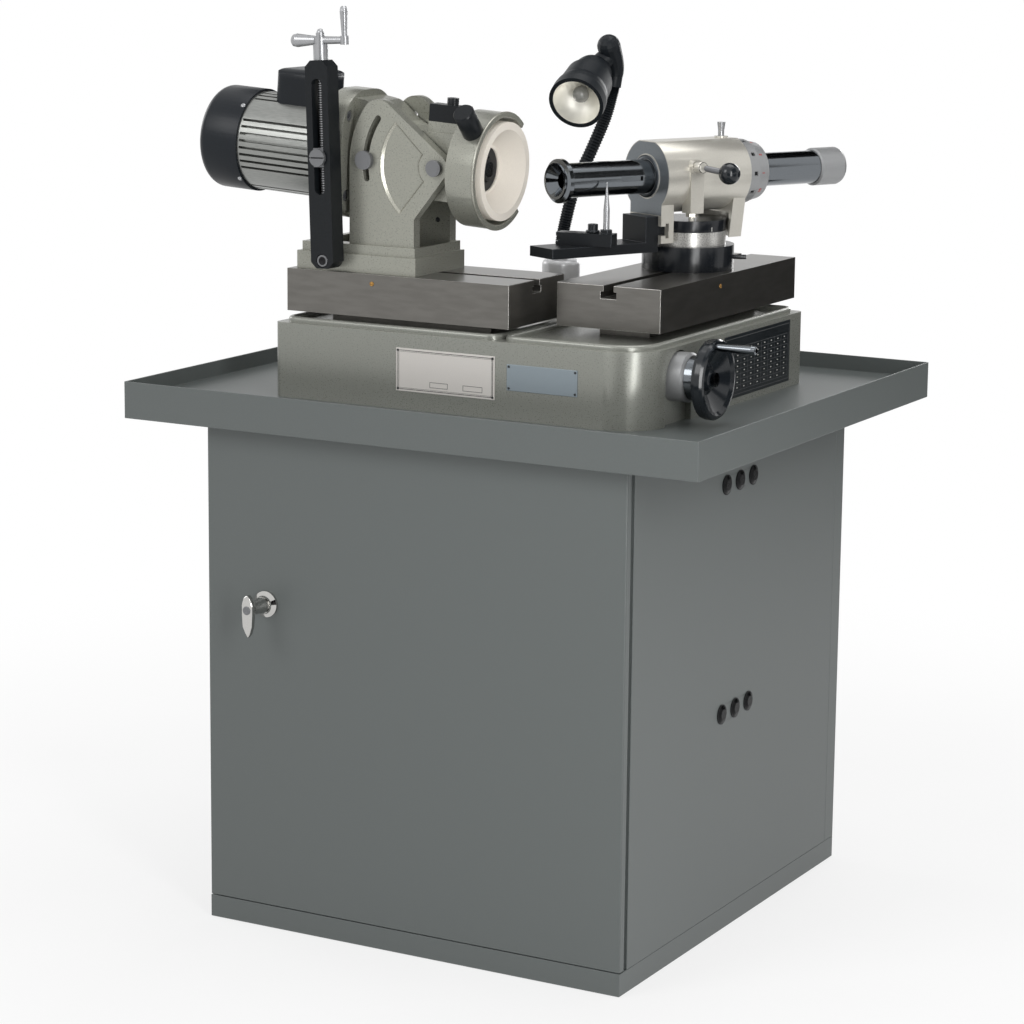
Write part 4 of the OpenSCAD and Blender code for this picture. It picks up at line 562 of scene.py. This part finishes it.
# Dark notches and red figures of the index ring
INDEX_R = 42
INDEX_N = 10
NOTCH_DEPTH = 2.3
NOTCH_AT = (-80.2, -75.1)
NOTCH_W = 4.8
notches = [(360 * i / INDEX_N, NOTCH_AT[0], NOTCH_AT[1], NOTCH_W) for i in range(INDEX_N)]
piece("index_notches", *wrapped(notches, INDEX_R - NOTCH_DEPTH), SPINDLE, ink, "index", "black_steel")
TAPER_Z = (-103, -85)
TAPER_R = (37.5, 40.8)
TAPER = (TAPER_R[1] - TAPER_R[0]) / (TAPER_Z[1] - TAPER_Z[0])
FIGURE_Z = -94
FIGURE_SIZE = 6.5
figure_r = TAPER_R[0] + TAPER * (FIGURE_Z - TAPER_Z[0])
index_numbers = [(360 * i / INDEX_N, i + 1) for i in range(INDEX_N)]
numbers("index_numbers", index_numbers, figure_r, FIGURE_Z, FIGURE_SIZE, SPINDLE, red_ink, "index",
        "black_plastic", TAPER)

# Machined front face of the workhead, round the spindle
FACE_S = 70
FACE_R = (29, 47)
FACE_TOP = 44
FACE_LEG = 32.5
FACE_LOW = 48.4
FACE_LIFT = 0.15
FACE_SIDES = 96
LEAST_COSINE = 0.01
points = []
faces = []
for k in range(FACE_SIDES):
    a = 2 * math.pi * k / FACE_SIDES
    up = math.sin(a)
    reach = FACE_R[1]
    if up > FACE_TOP / FACE_R[1]:
        reach = FACE_TOP / up
    if up < 0:
        reach = max(reach, min(FACE_LEG / max(abs(math.cos(a)), LEAST_COSINE), FACE_LOW / -up))
    for r, z in ((FACE_R[0], FACE_LIFT), (reach, FACE_LIFT), (reach, -LINE_SINK)):
        points.append((r * math.cos(a), r * math.sin(a), FACE_S + z))
    n = (k + 1) % FACE_SIDES
    faces += [(3 * k + i, 3 * k + i + 1, 3 * n + i + 1, 3 * n + i) for i in range(2)]
piece("workhead_face", points, faces, SPINDLE, machined_grey, "workhead", "black_steel")
SLEEVE_FACE = 71.5
SLEEVE_R = (22.5, 27.2)
sleeve = [(SLEEVE_R[1], SLEEVE_FACE - LINE_SINK), (SLEEVE_R[1], SLEEVE_FACE + FACE_LIFT),
          (SLEEVE_R[0], SLEEVE_FACE + FACE_LIFT)]
lathe("sleeve_face", sleeve, SPINDLE, bore_grey, "index", "black_steel", sides=64)

# Steel rod of the lock lever, as far as its black ball, and its painted hub
LEVER_HUB = (52.3, -28, 988)
HUB_R = 7.15
HUB_LEN = 12.2
HUB_CHAMFER = 1
LEVER_START = (58.3, -28, 988)
LEVER_BALL = (85, -2, 981)
LEVER_R = 3.9
BALL_IN = 12
lever = Vector(LEVER_BALL) - Vector(LEVER_START)
rod = WORK @ turned(Vector(LEVER_START) * MM, lever.orthogonal(), lever)
rod_skin = [(LEVER_R, 0), (LEVER_R, lever.length - BALL_IN)]
lathe("lever_rod", rod_skin, rod, bolt_steel, "lock_lever", "bright_steel", sides=24)
hub = WORK @ turned(Vector(LEVER_HUB) * MM, UP, RIGHT)
hub_skin = [(HUB_R, LINE_SINK), (HUB_R, HUB_LEN - HUB_CHAMFER),
            (HUB_R - HUB_CHAMFER, HUB_LEN), (0, HUB_LEN)]
lathe("lever_hub", hub_skin, hub, work_paint, "lock_lever", "bright_steel", sides=32)

# Black socket in the screw that the adjuster bar swings on
SOCKET_FACE = -12.5
socket = BAR @ turned((0, SOCKET_FACE * MM, 0), RIGHT, -BACK)
socket_skin = [(5.2, 0), (5.2, 0.4), (4.8, 0.6), (2.8, 0.6), (2.6, 0.1), (0, 0.1)]
lathe("bar_socket", socket_skin, socket, ink, "left_slide", "black_steel", sides=32)

# Thread of the adjuster screw, seen in the bar's slot
SCREW_R = 5
SCREW_PITCH = 3
SCREW_RUN = (86, 228)
ROOT_R = SCREW_R - 0.2
CREST_R = SCREW_R + 0.5
THREAD_TURN = ((ROOT_R, 0.4), (CREST_R, 1.4), (CREST_R, 1.9), (ROOT_R, 2.9))
thread = [(ROOT_R, SCREW_RUN[0])]
for z in range(SCREW_RUN[0], SCREW_RUN[1] - SCREW_PITCH, SCREW_PITCH):
    thread += [(radius, z + rise) for radius, rise in THREAD_TURN]
thread += [(ROOT_R, SCREW_RUN[1])]
lathe("adjuster_thread", thread, BAR, screw_steel, "adjuster_drive", "bright_steel", sides=32)

# Reflector inside the lamp shade
SHADE_MID = (36, 30, 1061)
SHADE_AXIS = Vector((0.15, -0.88, -0.45))
SHADE_R = 37
SHADE = turned(Vector(SHADE_MID) * MM, SHADE_AXIS.cross(UP), SHADE_AXIS)
lining = [(SHADE_R - 5.3, -0.8), (SHADE_R - 6.4, -8), (21.7, -33.6), (0, -33.6)]
lathe("lamp_reflector", lining, SHADE, reflector, "lamp_top", "lamp_glass", sides=64)

# Sloped walls of the sunk panel on the near cheek, as a casting has, in the lighter edge paint: a painted
# highlight on the walls
CHEEK_PIVOT = (-39, 989.5)
CHEEK_FACE_Y = -205
PANEL_R = 80
PANEL_NOTCH_R = 23
PANEL_SIDES = (136, 230)
PANEL_DEPTH = 4
DRAFT = 3.2
ARC_STEPS = 64
NOTCH_STEPS = 24


def panel_ring(inset, depth):
    """Outline of the panel, drawn in by an inset, at a depth below the cheek's face."""
    ring = []
    arcs = ((PANEL_R - inset, ARC_STEPS, False), (PANEL_NOTCH_R + inset, NOTCH_STEPS, True))
    for radius, steps, back in arcs:
        turn = math.degrees(math.asin(inset / radius))
        start, end = PANEL_SIDES[0] + turn, PANEL_SIDES[1] - turn
        angles = [math.radians(start + (end - start) * i / steps) for i in range(steps + 1)]
        if back:
            angles.reverse()
        ring += [(radius * math.cos(a), radius * math.sin(a), -depth) for a in angles]
    return ring


panel_at = spot(*CHEEK_PIVOT, turned((0, CHEEK_FACE_Y * MM, 0), RIGHT, -BACK))
outer = panel_ring(0.0, PANEL_EDGE)
inner = panel_ring(DRAFT, PANEL_DEPTH - LINE_LIFT)
count = len(outer)
faces = [(i, (i + 1) % count, count + (i + 1) % count, count + i) for i in range(count)]
piece("cheek_panel_walls", outer + inner, faces, panel_at, edge_highlight_paint, "left_slide", "casting_paint")

# Screwdriver slot across the adjuster nut, drawn as a flat black rule: painted shade in place of the slot's
# depth
nut_low, nut_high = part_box("adjuster_nut")
nut_mid = (nut_low + nut_high) / 2
NUT_R = 8.5
SLOT_HALF = 0.7
nut_at = turned((nut_mid.x, nut_low.y, nut_mid.z), RIGHT, -BACK)
slot_shade_rule = (-NUT_R, -SLOT_HALF, NUT_R, SLOT_HALF)
lines("nut_slot", [slot_shade_rule], 0, nut_at, ink, "adjuster_block", "black_steel")

# Grub screw on the inside of the far cheek
GRUB_AT = (-87, 914)
FAR_CHEEK_Y = -114
far_cheek = turned((0, FAR_CHEEK_Y * MM, 0), RIGHT, -BACK)
grub_at = spot(*GRUB_AT, far_cheek)
grub = [(3.2, 0), (3.2, 0.5), (2.0, 0.6), (1.8, 0.1), (0, 0.1)]
lathe("cheek_grub_screw", grub, grub_at, dark_steel, "left_slide", "black_steel", sides=24)

# Camera fitted to the photograph
PHOTO_PX = 1024
FOCAL_PX = 3114.0
CENTRE_PX = (525.6, 469.7)
CAMERA_AT_M = (1.9426, -3.5712, 1.3497)
HEADING_DEG = 28.75
DOWN_DEG = 10.78
ROLL_DEG = 0.62
SENSOR = 36.0
lens = bpy.data.cameras.new("camera")
camera = bpy.data.objects.new("camera", lens)
bpy.context.scene.collection.objects.link(camera)
lens.sensor_width = SENSOR
lens.lens = SENSOR * FOCAL_PX / PHOTO_PX
lens.shift_x = (PHOTO_PX / 2 - CENTRE_PX[0]) / PHOTO_PX
lens.shift_y = (CENTRE_PX[1] - PHOTO_PX / 2) / PHOTO_PX
camera.matrix_world = (Matrix.Translation(CAMERA_AT_M)
                       @ Matrix.Rotation(math.radians(HEADING_DEG), 4, "Z")
                       @ Matrix.Rotation(math.radians(90 - DOWN_DEG), 4, "X")
                       @ Matrix.Rotation(math.radians(ROLL_DEG), 4, "Z"))
bpy.context.scene.camera = camera


# Soft lamps that the camera does not see
def softbox(name, at, aim, size, watts):
    """Soft lamp at a place in metres, turned to an aim."""
    data = bpy.data.lights.new(name, "AREA")
    data.shape = "RECTANGLE"
    data.size, data.size_y = size
    data.energy = watts
    made = bpy.data.objects.new(name, data)
    bpy.context.scene.collection.objects.link(made)
    made.location = at
    made.rotation_mode = "QUATERNION"
    made.rotation_quaternion = (Vector(aim) - Vector(at)).to_track_quat("-Z", "Y")
    made.visible_camera = False


softbox("key", (-1.6, -3.6, 3.2), (0, 0, 0.8), (2.0, 2.0), 55)
softbox("strip", (1.9, -1.77, 1.15), (0, 0, 0.85), (0.45, 2.1), 32)
softbox("fill", (3.0, 0.4, 2.4), (0, 0, 0.9), (1.0, 1.0), 9)
softbox("top", (0.2, 0.6, 4.0), (0, 0, 0.8), (2.4, 2.4), 46)
softbox("rear", (-0.2, 4.4, 1.7), (0, 0, 0.6), (1.2, 1.6), 36)
softbox("left", (-3.8, 0.6, 2.0), (0, 0, 0.7), (1.4, 1.6), 24)


def seen_white(tree):
    """Node that gives 1 where a ray comes from the camera, a reflection or glass, and else 0."""
    path = tree.nodes.new("ShaderNodeLightPath")
    either = tree.nodes.new("ShaderNodeMath")
    either.operation = "MAXIMUM"
    any_of = tree.nodes.new("ShaderNodeMath")
    any_of.operation = "MAXIMUM"
    tree.links.new(path.outputs["Is Camera Ray"], either.inputs[0])
    tree.links.new(path.outputs["Is Glossy Ray"], either.inputs[1])
    tree.links.new(either.outputs[0], any_of.inputs[0])
    tree.links.new(path.outputs["Is Transmission Ray"], any_of.inputs[1])
    return any_of


# Floor that keeps the shadow and runs into the white background
FLOOR_M = 60.0
FLOOR_WHITE = (0.76, 1.0)
FLOOR_REACH_M = (0.7, 1.9)
bpy.ops.mesh.primitive_plane_add(size=FLOOR_M, location=(0, 0, -MM))
floor = bpy.context.object
floor.name = "floor"
floor_paint = finish("floor_paint", (243, 243, 243), (247, 247, 247), rough=(0.8, 0.9), grain=3, shine=0.0)
floor.data.materials.append(floor_paint)
tree = floor_paint.node_tree
place = tree.nodes.new("ShaderNodeTexCoord")
distance = tree.nodes.new("ShaderNodeVectorMath")
distance.operation = "LENGTH"
fade = tree.nodes.new("ShaderNodeMapRange")
fade.interpolation_type = "SMOOTHSTEP"
fade.inputs["From Min"].default_value = FLOOR_REACH_M[0]
fade.inputs["From Max"].default_value = FLOOR_REACH_M[1]
fade.inputs["To Min"].default_value = FLOOR_WHITE[0]
fade.inputs["To Max"].default_value = FLOOR_WHITE[1]
share = tree.nodes.new("ShaderNodeMath")
share.operation = "MULTIPLY"
glow = tree.nodes.new("ShaderNodeEmission")
glow.inputs["Strength"].default_value = 1.0
blend = tree.nodes.new("ShaderNodeMixShader")
tree.links.new(place.outputs["Object"], distance.inputs[0])
tree.links.new(distance.outputs["Value"], fade.inputs["Value"])
tree.links.new(fade.outputs["Result"], share.inputs[0])
tree.links.new(seen_white(tree).outputs[0], share.inputs[1])
tree.links.new(share.outputs[0], blend.inputs["Fac"])
tree.links.new(tree.nodes["Principled BSDF"].outputs[0], blend.inputs[1])
tree.links.new(glow.outputs[0], blend.inputs[2])
tree.links.new(blend.outputs[0], tree.nodes["Material Output"].inputs["Surface"])


# Dark flags that only reflections see
flag_cloth = finish("flag_cloth", (9, 9, 10), (12, 12, 13), rough=(0.9, 1.0), grain=5, shine=0.0)


def flag(name, at, aim, size):
    """Dark sheet at a place in metres, turned to an aim."""
    bpy.ops.mesh.primitive_plane_add(size=1, location=at)
    made = bpy.context.object
    made.name = name
    made.scale = (size[0], size[1], 1)
    made.rotation_mode = "QUATERNION"
    made.rotation_quaternion = (Vector(aim) - Vector(at)).to_track_quat("Z", "Y")
    made.data.materials.append(flag_cloth)
    made.visible_camera = False
    made.visible_diffuse = False
    made.visible_transmission = False
    made.visible_shadow = False


flag("flag_front", (1.0, -2.6, 0.75), (0, 0, 0.9), (1.6, 1.4))
flag("flag_right", (2.38, -0.33, 0.54), (0, 0, 0.54), (1.4, 0.96))
flag("flag_right_high", (1.75, -0.1, 1.95), (0, 0, 0.97), (1.6, 1.2))
flag("flag_over", (-0.17, 1.9, 2.7), (0, 0, 0.97), (3.0, 1.8))
flag("flag_back", (1.5, 2.4, 0.7), (0, 0, 0.9), (2.4, 1.3))

# Even soft light all round, and white where it is seen
AMBIENT = 0.3
world = bpy.data.worlds.new("studio")
bpy.context.scene.world = world
world.use_nodes = True
sky = world.node_tree
sky.nodes.clear()
ambient = sky.nodes.new("ShaderNodeBackground")
ambient.inputs["Strength"].default_value = AMBIENT
white = sky.nodes.new("ShaderNodeBackground")
white.inputs["Strength"].default_value = 1.0
for background in (ambient, white):
    background.inputs["Color"].default_value = (1, 1, 1, 1)
mix = sky.nodes.new("ShaderNodeMixShader")
out = sky.nodes.new("ShaderNodeOutputWorld")
sky.links.new(seen_white(sky).outputs[0], mix.inputs["Fac"])
sky.links.new(ambient.outputs[0], mix.inputs[1])
sky.links.new(white.outputs[0], mix.inputs[2])
sky.links.new(mix.outputs[0], out.inputs["Surface"])

bpy.context.scene.view_settings.view_transform = "Standard"
